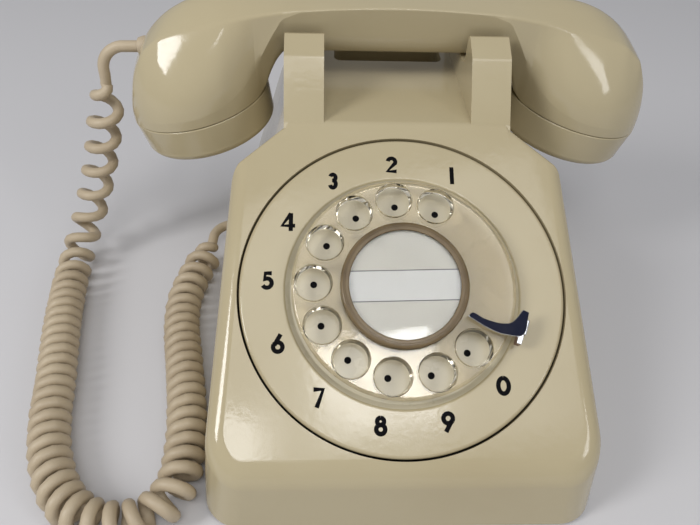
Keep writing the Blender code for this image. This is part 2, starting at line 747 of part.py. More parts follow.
def make_number_plate(frame):
    """The ring that carries the numerals, stepped down to the floor under the finger wheel."""
    top = 0.0
    edge = 1.2 * MM
    rim = arc((PLATE_RADIUS - edge, top - edge), edge, 90, 0, 2)
    profile = [
        (RING_INNER_RADIUS + 1.0 * MM, top),
        *rim,
        (PLATE_RADIUS, -SKIRT_DEPTH),
        (PLATE_RADIUS - PLATE_THICKNESS, -SKIRT_DEPTH),
        (PLATE_RADIUS - PLATE_THICKNESS, -PLATE_THICKNESS),
        (RING_INNER_RADIUS + 0.6 * MM, -PLATE_THICKNESS),
        (RING_INNER_RADIUS - 0.6 * MM, -RECESS_DEPTH - PLATE_THICKNESS),
        (HUB_RADIUS + 0.5 * MM, -RECESS_DEPTH - PLATE_THICKNESS),
        (HUB_RADIUS + 0.5 * MM, -RECESS_DEPTH),
        (RING_INNER_RADIUS - 0.4 * MM, -RECESS_DEPTH),
    ]
    plate = turned("number_plate", profile, IVORY, steps=40, parent=frame)
    slot = stop_foot("finger stop slot", frame, CLEARANCE)
    combine(plate, slot)


def stop_foot(name, frame, margin):
    """The upright leg of the finger stop, from above the wheel down to the mounting plate."""
    place = Matrix.Rotation(STOP_ANGLE, 4, "Z")
    root = PLATE_TOP + CLEARANCE - (2 * MM if margin else 0)
    low = (STOP_FOOT_RADIUS - margin, -STOP_FOOT_HALF - margin, root)
    outer = STOP_FOOT_RADIUS + STOP_THICKNESS + margin
    high = (outer, STOP_FOOT_HALF + margin, WHEEL_TOP + 1.0 * MM + STOP_THICKNESS)
    return block(name, low, high, None, parent=frame, place=place)


# Share of the way from the tip to the leg, and the distance across in millimetres
STOP_OUTLINE = (
    (0.0, -3.1),
    (0.065, -1.3),
    (0.281, -2.0),
    (0.553, -1.6),
    (0.724, 0.2),
    (0.829, 4.9),
    (0.985, 5.0),
    (1.0, -2.8),
    (0.673, -4.8),
    (0.503, -5.0),
    (0.286, -4.5),
)


def make_finger_stop(frame):
    """A bent blade that reaches in over the wheel, on a leg through the number plate."""
    level = WHEEL_TOP + 1.0 * MM + STOP_THICKNESS / 2
    tip, reach = BEZEL_RADIUS + 1.2 * MM, STOP_FOOT_RADIUS + STOP_THICKNESS
    outline = [(tip + along * (reach - tip), across * MM) for along, across in STOP_OUTLINE]
    place = Matrix.Rotation(STOP_ANGLE, 4, "Z") @ lift(level)
    blade = meshed(sheet("finger_stop", [outline], STOP_THICKNESS, None, frame, place))
    blade.data.materials.append(CHROME)
    combine(blade, stop_foot("finger stop leg", frame, 0.0), "UNION")


def make_wheel(rotor):
    """Clear finger wheel with ten lipped holes, its metal hub, card, window and bezel."""
    edge = 1.3 * MM
    low, top = WHEEL_UNDERSIDE, WHEEL_TOP
    profile = [
        (SHAFT_RADIUS + 0.5 * MM, top),
        *arc((WHEEL_RADIUS - edge, top - edge), edge, 90, 0, 2),
        (WHEEL_RADIUS - edge * 0.4, low),
        (SHAFT_RADIUS + 0.5 * MM, low),
    ]
    wheel = turned("finger_wheel", profile, CLEAR, steps=40, parent=rotor)
    for number in range(HOLE_COUNT):
        angle = FIRST_HOLE + number * HOLE_PITCH
        lip = turned(
            f"lip {number}",
            [
                (HOLE_RADIUS - 0.4 * MM, top + HOLE_LIP),
                (HOLE_RADIUS + LIP_WALL, top + HOLE_LIP),
                (HOLE_RADIUS + LIP_WALL, top - MM),
                (HOLE_RADIUS - 0.4 * MM, top - MM),
            ],
            None,
            steps=HOLE_SIDES,
            parent=rotor,
            place=lift(0, HOLE_CIRCLE * math.cos(angle), HOLE_CIRCLE * math.sin(angle)),
        )
        combine(wheel, lip, "UNION", "MANIFOLD")
    for number in range(HOLE_COUNT):
        angle = FIRST_HOLE + number * HOLE_PITCH
        hole = turned(
            f"finger hole {number}",
            [
                (0, top + 4 * MM),
                (HOLE_RADIUS, top + 4 * MM),
                (HOLE_RADIUS, top),
                (HOLE_FOOT_RADIUS, low - MM),
                (0, low - MM),
            ],
            None,
            steps=HOLE_SIDES,
            parent=rotor,
            place=lift(0, HOLE_CIRCLE * math.cos(angle), HOLE_CIRCLE * math.sin(angle)),
            ring=False,
        )
        combine(wheel, hole, "DIFFERENCE", "MANIFOLD")
    hub_low = -RECESS_DEPTH - PLATE_THICKNESS
    turned(
        "wheel_hub",
        [
            (SHAFT_RADIUS + 0.05 * MM, low - CLEARANCE),
            (HUB_RADIUS, low - CLEARANCE),
            (HUB_RADIUS, hub_low),
            (SHAFT_RADIUS + 0.05 * MM, hub_low),
        ],
        STEEL,
        steps=16,
        parent=rotor,
    )
    card_level = top + CLEARANCE
    turned(
        "number_card",
        [
            (0, card_level + CARD_THICKNESS),
            (CARD_RADIUS, card_level + CARD_THICKNESS),
            (CARD_RADIUS, card_level),
            (0, card_level),
        ],
        CARD,
        steps=28,
        parent=rotor,
        ring=False,
    )
    window_low = card_level + CARD_THICKNESS + CLEARANCE
    window_top = window_low + WINDOW_THICKNESS
    turned(
        "card_window",
        [(0, window_top), (CARD_RADIUS, window_top), (CARD_RADIUS, window_low), (0, window_low)],
        CLEAR,
        steps=28,
        parent=rotor,
        ring=False,
    )
    lip_low = window_top + CLEARANCE
    bezel_top = max(top + BEZEL_HEIGHT, lip_low + 0.5 * MM)
    turned(
        "card_bezel",
        [
            (CARD_RADIUS - 0.9 * MM, bezel_top),
            (BEZEL_RADIUS - 0.9 * MM, bezel_top),
            (BEZEL_RADIUS - 0.2 * MM, bezel_top - 0.7 * MM),
            (BEZEL_RADIUS, card_level),
            (CARD_RADIUS + CLEARANCE, card_level),
            (CARD_RADIUS + CLEARANCE, lip_low),
            (CARD_RADIUS - 0.9 * MM, lip_low),
        ],
        BEZEL,
        steps=28,
        parent=rotor,
    )


def gear(name, teeth, module, phase, level, bore, material, parent):
    """A spur gear with a round bore."""
    outlines = [tooth_outline(teeth, module, phase), circle(bore, 16)]
    return sheet(name, outlines, GEAR_THICKNESS, material, parent, lift(level))


def make_mechanism(frame, rotor, pulse, governor):
    """Shafts, gears, spring, cam, contacts and the plates that hold them."""
    running = 0.05 * MM
    shaft_low = BRIDGE_TOP - SHEET - 1.0 * MM
    rod("dial_shaft", (0, 0, shaft_low), (0, 0, WHEEL_TOP - 0.2 * MM), SHAFT_RADIUS, STEEL, rotor, sides=16)
    drive = meshed(
        gear(
            "drive_gear",
            DRIVE_TEETH,
            DRIVE_MODULE,
            PINION_DIRECTION,
            DRIVE_LEVEL,
            SHAFT_RADIUS + running,
            None,
            rotor,
        )
    )
    drive.data.materials.append(BRASS)
    collar_low = DRIVE_LEVEL - GEAR_THICKNESS / 2 - 1.5 * MM
    collar = turned(
        "drive collar",
        [
            (SHAFT_RADIUS + running, DRIVE_LEVEL),
            (SHAFT_RADIUS + 3 * MM, DRIVE_LEVEL),
            (SHAFT_RADIUS + 3 * MM, collar_low),
            (SHAFT_RADIUS + running, collar_low),
        ],
        None,
        steps=16,
        parent=rotor,
    )
    combine(drive, collar, "UNION")
    facing = PINION_DIRECTION + math.pi + math.pi / PINION_TEETH
    pinion = meshed(
        gear(
            "pulse_pinion",
            PINION_TEETH,
            DRIVE_MODULE,
            facing,
            DRIVE_LEVEL,
            SPINDLE_RADIUS + running,
            None,
            pulse,
        )
    )
    pinion.data.materials.append(BRASS)
    rod(
        "pulse_spindle",
        (0, 0, BRIDGE_TOP - SHEET - 0.8 * MM),
        (0, 0, PLATE_TOP + 0.5 * MM),
        SPINDLE_RADIUS,
        STEEL,
        pulse,
        sides=12,
    )
    cam_top = DRIVE_LEVEL - GEAR_THICKNESS / 2 - CLEARANCE
    cam_outline = [
        (
            (5.6 * MM + 1.0 * MM * math.cos(2 * a)) * math.cos(a),
            (5.6 * MM + 1.0 * MM * math.cos(2 * a)) * math.sin(a),
        )
        for a in (math.tau * i / 16 for i in range(16))
    ]
    cam_level = cam_top - 1.0 * MM
    sheet("pulse_cam", [cam_outline, circle(SPINDLE_RADIUS + running, 12)], 2 * MM, DARK, pulse, lift(cam_level))
    gear(
        "governor_gear",
        GOVERNOR_GEAR_TEETH,
        GOVERNOR_MODULE,
        GOVERNOR_DIRECTION,
        GOVERNOR_LEVEL,
        SPINDLE_RADIUS + running,
        BRASS,
        pulse,
    )
    facing = GOVERNOR_DIRECTION + math.pi + math.pi / GOVERNOR_TEETH
    gear(
        "governor_pinion",
        GOVERNOR_TEETH,
        GOVERNOR_MODULE,
        facing,
        GOVERNOR_LEVEL,
        SPINDLE_RADIUS + running,
        BRASS,
        governor,
    )
    rod(
        "governor_spindle",
        (0, 0, BRIDGE_TOP - SHEET - 0.8 * MM),
        (0, 0, PLATE_TOP + 0.5 * MM),
        SPINDLE_RADIUS,
        STEEL,
        governor,
        sides=12,
    )
    rotor_low = GOVERNOR_LEVEL + GEAR_THICKNESS / 2 + CLEARANCE
    arm = block(
        "governor_weights",
        (-5.2 * MM, -2.6 * MM, rotor_low),
        (5.2 * MM, 2.6 * MM, rotor_low + 3 * MM),
        None,
        parent=governor,
    )
    arm.data.materials.append(BRASS)
    for side in (-1, 1):
        weight = rod(
            f"weight {side}",
            (side * 5.2 * MM, 0, rotor_low),
            (side * 5.2 * MM, 0, rotor_low + 4 * MM),
            2.0 * MM,
            None,
            parent=governor,
            sides=8,
        )
        combine(arm, weight, "UNION")
    bore = rod(
        "weights bore",
        (0, 0, rotor_low - MM),
        (0, 0, rotor_low + 5 * MM),
        SPINDLE_RADIUS + running,
        None,
        governor,
        12,
    )
    combine(arm, bore)
    cup_in, cup_wall = 7.8 * MM, 0.8 * MM
    cup_top = PLATE_BOTTOM - CLEARANCE
    cup = [
        (SPINDLE_RADIUS + CLEARANCE, cup_top),
        (cup_in + cup_wall, cup_top),
        (cup_in + cup_wall, rotor_low),
        (cup_in, rotor_low),
        (cup_in, cup_top - cup_wall),
        (SPINDLE_RADIUS + CLEARANCE, cup_top - cup_wall),
    ]
    turned("governor_cup", cup, STEEL, steps=16, parent=frame, place=lift(0, *GOVERNOR_SPOT))
    mounting = [circle(MOUNTING_RADIUS, 36), circle(SHAFT_RADIUS + running, 16)]
    bridge_half = 8.0 * MM
    outline = [
        (-bridge_half, BRIDGE_POSTS[2][1] - 5 * MM),
        (bridge_half, BRIDGE_POSTS[2][1] - 5 * MM),
        (bridge_half, 4 * MM),
        (BRIDGE_POSTS[1][0] + 5 * MM, BRIDGE_POSTS[1][1] - 6 * MM),
        (BRIDGE_POSTS[1][0] + 3 * MM, BRIDGE_POSTS[1][1] + 6 * MM),
        (BRIDGE_POSTS[0][0] - 3 * MM, BRIDGE_POSTS[0][1] + 6 * MM),
        (BRIDGE_POSTS[0][0] - 5 * MM, BRIDGE_POSTS[0][1] - 6 * MM),
        (-bridge_half, 4 * MM),
    ]
    bridge = [outline, circle(SHAFT_RADIUS + running, 16)]
    for spot in (PINION_SPOT, GOVERNOR_SPOT):
        mounting.append(circle(SPINDLE_RADIUS + running, 12, spot))
        bridge.append(circle(SPINDLE_RADIUS + running, 12, spot))
    sheet("dial_mounting_plate", mounting, SHEET, STEEL, frame, lift(PLATE_TOP - SHEET / 2))
    plate = meshed(sheet("dial_bridge", bridge, SHEET, None, frame, lift(BRIDGE_TOP - SHEET / 2)))
    plate.data.materials.append(STEEL)
    for number, (x, y) in enumerate(BRIDGE_POSTS):
        low = (x, y, BRIDGE_TOP - SHEET / 2)
        post = rod(f"bridge post {number}", low, (x, y, PLATE_BOTTOM - CLEARANCE), 2 * MM, None, frame, 8)
        combine(plate, post, "UNION")
    spring_low, spring_top = BRIDGE_TOP + CLEARANCE, collar_low - 1.0 * MM
    inner, outer, turns = SHAFT_RADIUS + 0.8 * MM, SHAFT_RADIUS + 8.0 * MM, 3
    spiral = []
    for i in range(turns * 12 + 1):
        angle = math.tau * i / 12
        radius = inner + (outer - inner) * i / (turns * 12)
        spiral.append((radius * math.cos(angle), radius * math.sin(angle)))
    thickness = 0.35 * MM
    back = [(x * (1 + thickness / math.hypot(x, y)), y * (1 + thickness / math.hypot(x, y))) for x, y in spiral]
    sheet(
        "motor_spring",
        [spiral + back[::-1]],
        spring_top - spring_low,
        STEEL,
        frame,
        lift((spring_low + spring_top) / 2),
    )
    make_pulse_contacts(frame, cam_level)


def make_pulse_contacts(frame, level):
    """Two leaf springs in an insulating block, their tips beside the cam."""
    cam_x, cam_y = PINION_SPOT
    tip = cam_x - 7.4 * MM
    pack = block(
        "pulse_contacts",
        (tip - 5 * MM, cam_y + 8 * MM, level - 1.0 * MM),
        (tip + 0.5 * MM, cam_y + 15 * MM, PLATE_BOTTOM - CLEARANCE),
        None,
        parent=frame,
    )
    pack.data.materials.append(DARK)
    for number in range(2):
        x = tip - number * 2.4 * MM
        leaf = block(
            f"contact leaf {number}",
            (x - 0.4 * MM, cam_y - 3 * MM, level - 0.8 * MM),
            (x, cam_y + 10 * MM, level + 0.8 * MM),
            None,
            parent=frame,
        )
        combine(pack, leaf, "UNION")


def make_dial():
    frame = pivot("dial_axis", DIAL_FRAME)
    rotor = pivot("dial_rotor_axis", Matrix.Identity(4), frame)
    pulse = pivot("pulse_axis", lift(0, *PINION_SPOT), frame)
    governor = pivot("governor_axis", lift(0, *GOVERNOR_SPOT), frame)
    make_number_plate(frame)
    make_finger_stop(frame)
    make_wheel(rotor)
    make_mechanism(frame, rotor, pulse, governor)
    foot_low, foot_high = DIAL_CENTRE.y - 12 * MM, DIAL_CENTRE.y + 22 * MM
    offset = PLATE_BOTTOM - CLEARANCE
    outline = [
        (foot_low, SEAT),
        (foot_high, SEAT),
        (foot_high, dial_height(foot_high, offset)),
        (foot_low, dial_height(foot_low, offset)),
    ]
    bracket_x = MOUNTING_RADIUS - 7 * MM
    for side, name in ((-1, "dial_bracket_left"), (1, "dial_bracket_right")):
        low_x, high_x = sorted((side * bracket_x, side * (bracket_x + SHEET)))
        side_sheet(name, outline, low_x, high_x, STEEL)


# Hook switch


def make_hook_switch():
    """Plungers in the cradle, the lever that lifts them, its frame, spring and contacts."""
    pivot_y = HANDSET_Y + HOOK_ARM
    axis = Matrix.Translation((0, pivot_y, HOOK_PIVOT_HEIGHT))
    lever_pivot = pivot("hook_lever_axis", axis @ Matrix.Rotation(-HOOK_REST, 4, "X"))
    plunger_x = EAR_INNER_X + EAR_WIDTH / 2
    arm_half, half_thick = 3.0 * MM, 1.0 * MM
    span = HOOK_SIDE_X + SHEET + 1.5 * MM
    lever = rod("hook_lever", (-span, 0, 0), (span, 0, 0), HOOK_ROD_RADIUS, None, lever_pivot, sides=12)
    lever.data.materials.append(STEEL)
    for side in (-1, 1):
        arm = block(
            f"lever arm {side}",
            (side * plunger_x - arm_half, -HOOK_ARM - 3 * MM, -half_thick),
            (side * plunger_x + arm_half, 0.5 * MM, half_thick),
            None,
            parent=lever_pivot,
        )
        combine(lever, arm, "UNION")
    web = block(
        "lever web",
        (-plunger_x, -12 * MM, -half_thick * 0.9),
        (plunger_x, -6 * MM, half_thick * 0.9),
        None,
        lever_pivot,
    )
    combine(lever, web, "UNION")
    arm_top = HOOK_PIVOT_HEIGHT + HOOK_ARM * math.tan(HOOK_REST) + half_thick / math.cos(HOOK_REST)
    foot = arm_top + 1.5 * MM * math.tan(-HOOK_REST) + CLEARANCE
    for side, name in ((-1, "plunger_left"), (1, "plunger_right")):
        x = side * plunger_x
        plunger = block(
            name,
            (x - PLUNGER_WIDTH / 2, HANDSET_Y - PLUNGER_DEPTH / 2, foot + 4 * MM),
            (x + PLUNGER_WIDTH / 2, HANDSET_Y + PLUNGER_DEPTH / 2, HANDLE_UNDERSIDE - CLEARANCE),
            None,
        )
        plunger.data.materials.append(IVORY)
        nib = block(
            name + " nib",
            (x - 2 * MM, HANDSET_Y - 1.5 * MM, foot),
            (x + 2 * MM, HANDSET_Y + 1.5 * MM, foot + 5 * MM),
            None,
        )
        combine(plunger, nib, "UNION")
    low_y, high_y = pivot_y - 7 * MM, pivot_y + 6 * MM
    top = HOOK_PIVOT_HEIGHT + 5 * MM
    frame = meshed(
        side_sheet(
            "hook_frame",
            [(low_y, SEAT), (high_y, SEAT), (high_y, top), (low_y, top)],
            -HOOK_SIDE_X - SHEET,
            -HOOK_SIDE_X,
            None,
        )
    )
    frame.data.materials.append(STEEL)
    right = block("right cheek", (HOOK_SIDE_X, low_y, SEAT), (HOOK_SIDE_X + SHEET, high_y, top), None)
    combine(frame, right, "UNION")
    strap = block(
        "frame strap",
        (-HOOK_SIDE_X - MM, low_y + MM, SEAT),
        (HOOK_SIDE_X + MM, high_y - MM, SEAT + SHEET),
        None,
    )
    combine(frame, strap, "UNION")
    bore = rod(
        "lever bore",
        (-HOOK_SIDE_X - 5 * MM, pivot_y, HOOK_PIVOT_HEIGHT),
        (HOOK_SIDE_X + 5 * MM, pivot_y, HOOK_PIVOT_HEIGHT),
        HOOK_ROD_RADIUS + 0.1 * MM,
        None,
        sides=12,
    )
    combine(frame, bore)
    wire, turns = 0.5 * MM, 3
    radius = HOOK_ROD_RADIUS + wire + 0.4 * MM
    coil = [
        (
            10 * MM + 1.4 * MM * i / 8,
            pivot_y + radius * math.cos(math.tau * i / 8),
            HOOK_PIVOT_HEIGHT + radius * math.sin(math.tau * i / 8),
        )
        for i in range(turns * 8 + 1)
    ]
    tube("hook_spring", coil, wire, STEEL, sides_setting=1)
    stack_low = SEAT + SHEET + CLEARANCE
    low, high = (4 * MM, low_y + 2 * MM, stack_low), (20 * MM, high_y - 2 * MM, stack_low + 9 * MM)
    stack = block("hook_contacts", low, high, None)
    stack.data.materials.append(DARK)
    for number in range(4):
        x = 6.0 * MM + number * 3.6 * MM
        leaf = block(
            f"hook leaf {number}",
            (x, pivot_y - 2 * MM, stack_low + 8 * MM),
            (x + 0.6 * MM, pivot_y + 2 * MM, stack_low + 32 * MM),
            None,
        )
        combine(stack, leaf, "UNION")


# Ringer and network


def make_ringer():
    """Two gongs on posts, the coil in its frame, the clapper and the loudness wheel."""
    gong = [
        (POST_RADIUS + CLEARANCE, GONG_RIM + GONG_HEIGHT),
        *arc((GONG_RADIUS - 7 * MM, GONG_RIM + GONG_HEIGHT - 7 * MM), 7 * MM, 90, 0, 3),
        (GONG_RADIUS, GONG_RIM),
        (GONG_RADIUS - GONG_WALL, GONG_RIM),
        *arc((GONG_RADIUS - 7 * MM, GONG_RIM + GONG_HEIGHT - 7 * MM), 7 * MM - GONG_WALL, 0, 90, 3),
        (POST_RADIUS + CLEARANCE, GONG_RIM + GONG_HEIGHT - GONG_WALL),
    ]
    for side, name in ((-1, "left"), (1, "right")):
        place = lift(0, RINGER_X + side * GONG_SPACING, GONG_Y)
        turned("gong_" + name, gong, BRASS, steps=14, place=place)
        crown = GONG_RIM + GONG_HEIGHT
        post = [
            (0, crown + 2.3 * MM),
            (POST_RADIUS + 1.8 * MM, crown + 2.3 * MM),
            (POST_RADIUS + 1.8 * MM, crown + CLEARANCE),
            (POST_RADIUS, crown + CLEARANCE),
            (POST_RADIUS, crown - GONG_WALL - CLEARANCE),
            (POST_RADIUS + 1.8 * MM, crown - GONG_WALL - CLEARANCE),
            (POST_RADIUS + 1.8 * MM, SEAT),
            (0, SEAT),
        ]
        turned("gong_post_" + name, post, STEEL, steps=6, place=place, ring=False)
    pivot_y = GONG_Y + CLAPPER_ROD
    level = GONG_RIM + 4 * MM
    clapper_pivot = pivot("clapper_axis", lift(0, RINGER_X, pivot_y))
    start, end = (0, 0, SEAT + SHEET + CLEARANCE), (0, 0, level + 4 * MM)
    clapper = rod("clapper", start, end, 2.0 * MM, None, clapper_pivot, 12)
    clapper.data.materials.append(BRASS)
    arm = rod("clapper rod", (0, 0, level), (0, -CLAPPER_ROD, level), 0.8 * MM, None, clapper_pivot, 8)
    combine(clapper, arm, "UNION")
    ball = rod(
        "clapper ball",
        (0, -CLAPPER_ROD, level - CLAPPER_BALL),
        (0, -CLAPPER_ROD, level + CLAPPER_BALL),
        CLAPPER_BALL,
        None,
        clapper_pivot,
        10,
    )
    combine(clapper, ball, "UNION")
    coil_y = pivot_y + 13 * MM
    coil_z = SEAT + SHEET + COIL_RADIUS + 3.0 * MM
    flange, core = COIL_RADIUS, COIL_RADIUS - 1.5 * MM
    half = COIL_LENGTH / 2
    spool = [
        (0, half),
        (flange, half),
        (flange, half - 1.5 * MM),
        (core, half - 1.5 * MM),
        (core, -half + 1.5 * MM),
        (flange, -half + 1.5 * MM),
        (flange, -half),
        (0, -half),
    ]
    place = Matrix.Translation((RINGER_X, coil_y, coil_z)) @ Matrix.Rotation(math.radians(90), 4, "Y")
    turned("ringer_coil", spool, COPPER, steps=12, place=place, ring=False)
    low_x, high_x = RINGER_X - half - CLEARANCE, RINGER_X + half + CLEARANCE
    frame = block(
        "ringer_frame",
        (low_x - SHEET, pivot_y - 6 * MM, SEAT),
        (high_x + SHEET, coil_y + COIL_RADIUS, SEAT + SHEET),
        None,
    )
    frame.data.materials.append(STEEL)
    for name, low, high in (("left", low_x - SHEET, low_x), ("right", high_x, high_x + SHEET)):
        cheek = block(
            f"coil cheek {name}",
            (low, coil_y - COIL_RADIUS, SEAT),
            (high, coil_y + COIL_RADIUS - 0.2 * MM, coil_z + COIL_RADIUS),
            None,
        )
        combine(frame, cheek, "UNION")
    knurl = [
        (
            (LOUDNESS_RADIUS - (0.8 * MM if i % 2 else 0)) * math.cos(math.tau * i / 32),
            (LOUDNESS_RADIUS - (0.8 * MM if i % 2 else 0)) * math.sin(math.tau * i / 32),
        )
        for i in range(32)
    ]
    wheel_pivot = pivot("loudness_axis", lift(0, WHEEL_X, WHEEL_Y))
    wheel_top = BASE_UNDERSIDE - CLEARANCE
    wheel = meshed(sheet("loudness_wheel", [knurl], 2.4 * MM, None, wheel_pivot, lift(wheel_top - 1.2 * MM)))
    wheel.data.materials.append(DARK)
    pin = rod(
        "loudness pin",
        (0, 0, wheel_top - MM),
        (0, 0, BASE_TOP + 3 * MM),
        POST_RADIUS - CLEARANCE,
        None,
        wheel_pivot,
        12,
    )
    combine(wheel, pin, "UNION")


def make_network():
    """The network block under the dial, with its screw terminals on top."""
    half_x, top = NETWORK_HALF_WIDTH, NETWORK_TOP
    front, back = NETWORK_FRONT, NETWORK_FRONT + NETWORK_DEPTH
    block("network_block", (-half_x, front, SEAT), (half_x, back, top), DARK, rounding=1.5 * MM)
    strip = block(
        "network_terminals",
        (-half_x + 6 * MM, back - 12 * MM, top + CLEARANCE),
        (half_x - 6 * MM, back - 4 * MM, top + 1.2 * MM),
        None,
    )
    strip.data.materials.append(BRASS)
    for number in range(5):
        x = -24 * MM + number * 12 * MM
        low, high = (x, back - 8 * MM, top + MM), (x, back - 8 * MM, top + 2.6 * MM)
        head = rod(f"terminal {number}", low, high, 2.4 * MM, None, None, 8)
        combine(strip, head, "UNION")


# Handset

# Distance along, half width over the handle's, depths of its level and of the top under the handle's top,
# half width of the underside and its depth under the handle's underside, all in millimetres
HANDLE_STATIONS = (
    (0.0, 0.0, 5.0, 0.0, 10.5, 0.0),
    (36.0, 0.0, 5.5, 0.3, 10.5, 0.0),
    (42.5, 0.4, 7.0, 0.5, 10.2, 0.0),
    (45.5, 1.1, 9.5, 0.6, 9.8, 2.8),
    (48.5, 2.0, 13.5, 0.7, 9.4, 8.0),
    (51.3, 3.4, 19.0, 0.9, 8.8, 14.5),
)
# Distance along the handset, share of the way from the seam's height up to the handle's top, and how far the
# widest level lies over the seam
HEAD_STATIONS = (
    (54.0, 0.976, 14.0),
    (57.5, 0.971, 9.0),
    (62.0, 0.965, 6.0),
    (67.0, 0.949, 4.5),
    (72.5, 0.923, 4.0),
    (79.0, 0.870, 4.0),
    (85.6, 0.788, 4.0),
    (91.5, 0.680, 4.0),
    (96.6, 0.552, 4.0),
    (100.8, 0.400, 4.0),
    (104.2, 0.227, 3.7),
    (106.6, 0.066, 2.6),
    (107.6, -0.035, 1.6),
)


def seam_height(x):
    """Height of the seam plane between shell and cap, x counted outwards."""
    return SEAM_HEIGHT - (x - HEAD_X) * math.tan(HEAD_TILT)


def seam_half_width(x):
    """Half width of the seam circle at a distance along the handset."""
    along = (x - HEAD_X) / math.cos(HEAD_TILT)
    return math.sqrt(max(SEAM_RADIUS**2 - along**2, (1.5 * MM) ** 2))


def handset_sections():
    """Rows of x, half width, its height, top, foot half width, foot height and bulge, from the middle outwards."""
    sections = []
    for x, wider, waist, top, foot_half, foot in HANDLE_STATIONS:
        section = (
            x * MM,
            HANDLE_HALF_WIDTH + wider * MM,
            HANDLE_TOP - waist * MM,
            HANDLE_TOP - top * MM,
            foot_half * MM,
            HANDLE_UNDERSIDE - foot * MM,
            2.7,
        )
        sections.append(section)
    for x, share, rise in HEAD_STATIONS:
        top = SEAM_HEIGHT + share * (HANDLE_TOP - SEAM_HEIGHT)
        seam = seam_half_width(x * MM)
        neck = max(0.0, 1 - (x - 50.0) / 20.0)
        half = max(seam, 0.0) + 0.2 * MM + neck * 6.0 * MM
        foot = seam_height(x * MM)
        sections.append((x * MM, half, foot + rise * MM, top, seam, foot, 2.2 + 0.3 * neck))
    return sections


def section_points(section):
    """Closed outline (Y, Z) of one section, starting at the top and running round."""
    _, half, waist, top, foot_half, foot, bulge = section
    right = []
    for i in range(6):
        angle = math.radians(90 - 90 * i / 5)
        y = half * math.cos(angle) ** (2 / bulge)
        z = waist + (top - waist) * math.sin(angle) ** (2 / bulge)
        right.append((y, z))
    for share in (0.45, 0.85):
        drop = share ** 1.15
        right.append((half + (foot_half - half) * drop, waist + (foot - waist) * share))
    right.append((foot_half * 0.9 if foot_half > 4 * MM else foot_half, foot))
    right.append((foot_half * 0.45, foot))
    left = [(-y, z) for y, z in right[:0:-1]]
    return right + [(0.0, foot)] + left


def make_handset():
    """Handset shell lofted along its length, with caps, capsules, bushing and cord lead."""
    outward = handset_sections()
    ordered = [(-s[0], *s[1:]) for s in outward[:0:-1]] + outward
    shape = bmesh.new()
    rings = []
    for section in ordered:
        ring = [shape.verts.new((section[0], HANDSET_Y + y, z)) for y, z in section_points(section)]
        rings.append(ring)
    for near, far in zip(rings, rings[1:]):
        for i in range(len(near)):
            j = (i + 1) % len(near)
            shape.faces.new((near[i], near[j], far[j], far[i]))
    shape.faces.new(rings[0])
    shape.faces.new(rings[-1][::-1])
    bmesh.ops.recalc_face_normals(shape, faces=shape.faces)
    mesh = bpy.data.meshes.new("handset_shell")
    shape.to_mesh(mesh)
    shape.free()
    shell = smooth(add("handset_shell", mesh, IVORY), 50)
    for side, name in ((-1, "transmitter"), (1, "receiver")):
        head = pivot(name + "_axis", head_frame(side))
        cup = rod(f"{name} cup bore", (0, 0, -8 * MM), (0, 0, CUP_DEPTH), CUP_RADIUS, None, head, 28)
        combine(shell, cup)
        well = rod(f"{name} cup well", (0, 0, -8 * MM), (0, 0, CUP_WELL_DEPTH), CUP_WELL_RADIUS, None, head, 20)
        combine(shell, well)
        make_cap(name, head)
    bore = rod(
        "lead bore",
        (LEAD_BORE_X, HANDSET_Y, LEAD_HEIGHT),
        (LEAD_BORE_X - 25 * MM, HANDSET_Y, LEAD_HEIGHT),
        LEAD_BORE_RADIUS,
        None,
        sides=16,
    )
    combine(shell, bore)
    turn = Matrix.Rotation(math.radians(-90), 4, "Y")
    place = Matrix.Translation((LEAD_BORE_X, HANDSET_Y, LEAD_HEIGHT)) @ turn
    length = BUSHING_END - CLEARANCE
    turned(
        "cord_bushing",
        [
            (CORD_DIAMETER / 2 + CLEARANCE, length),
            (LEAD_BORE_RADIUS - 1.2 * MM, length),
            (LEAD_BORE_RADIUS - CLEARANCE, length - 2.5 * MM),
            (LEAD_BORE_RADIUS - CLEARANCE, CLEARANCE),
            (CORD_DIAMETER / 2 + CLEARANCE, CLEARANCE),
        ],
        DARK,
        steps=12,
        place=place,
    )


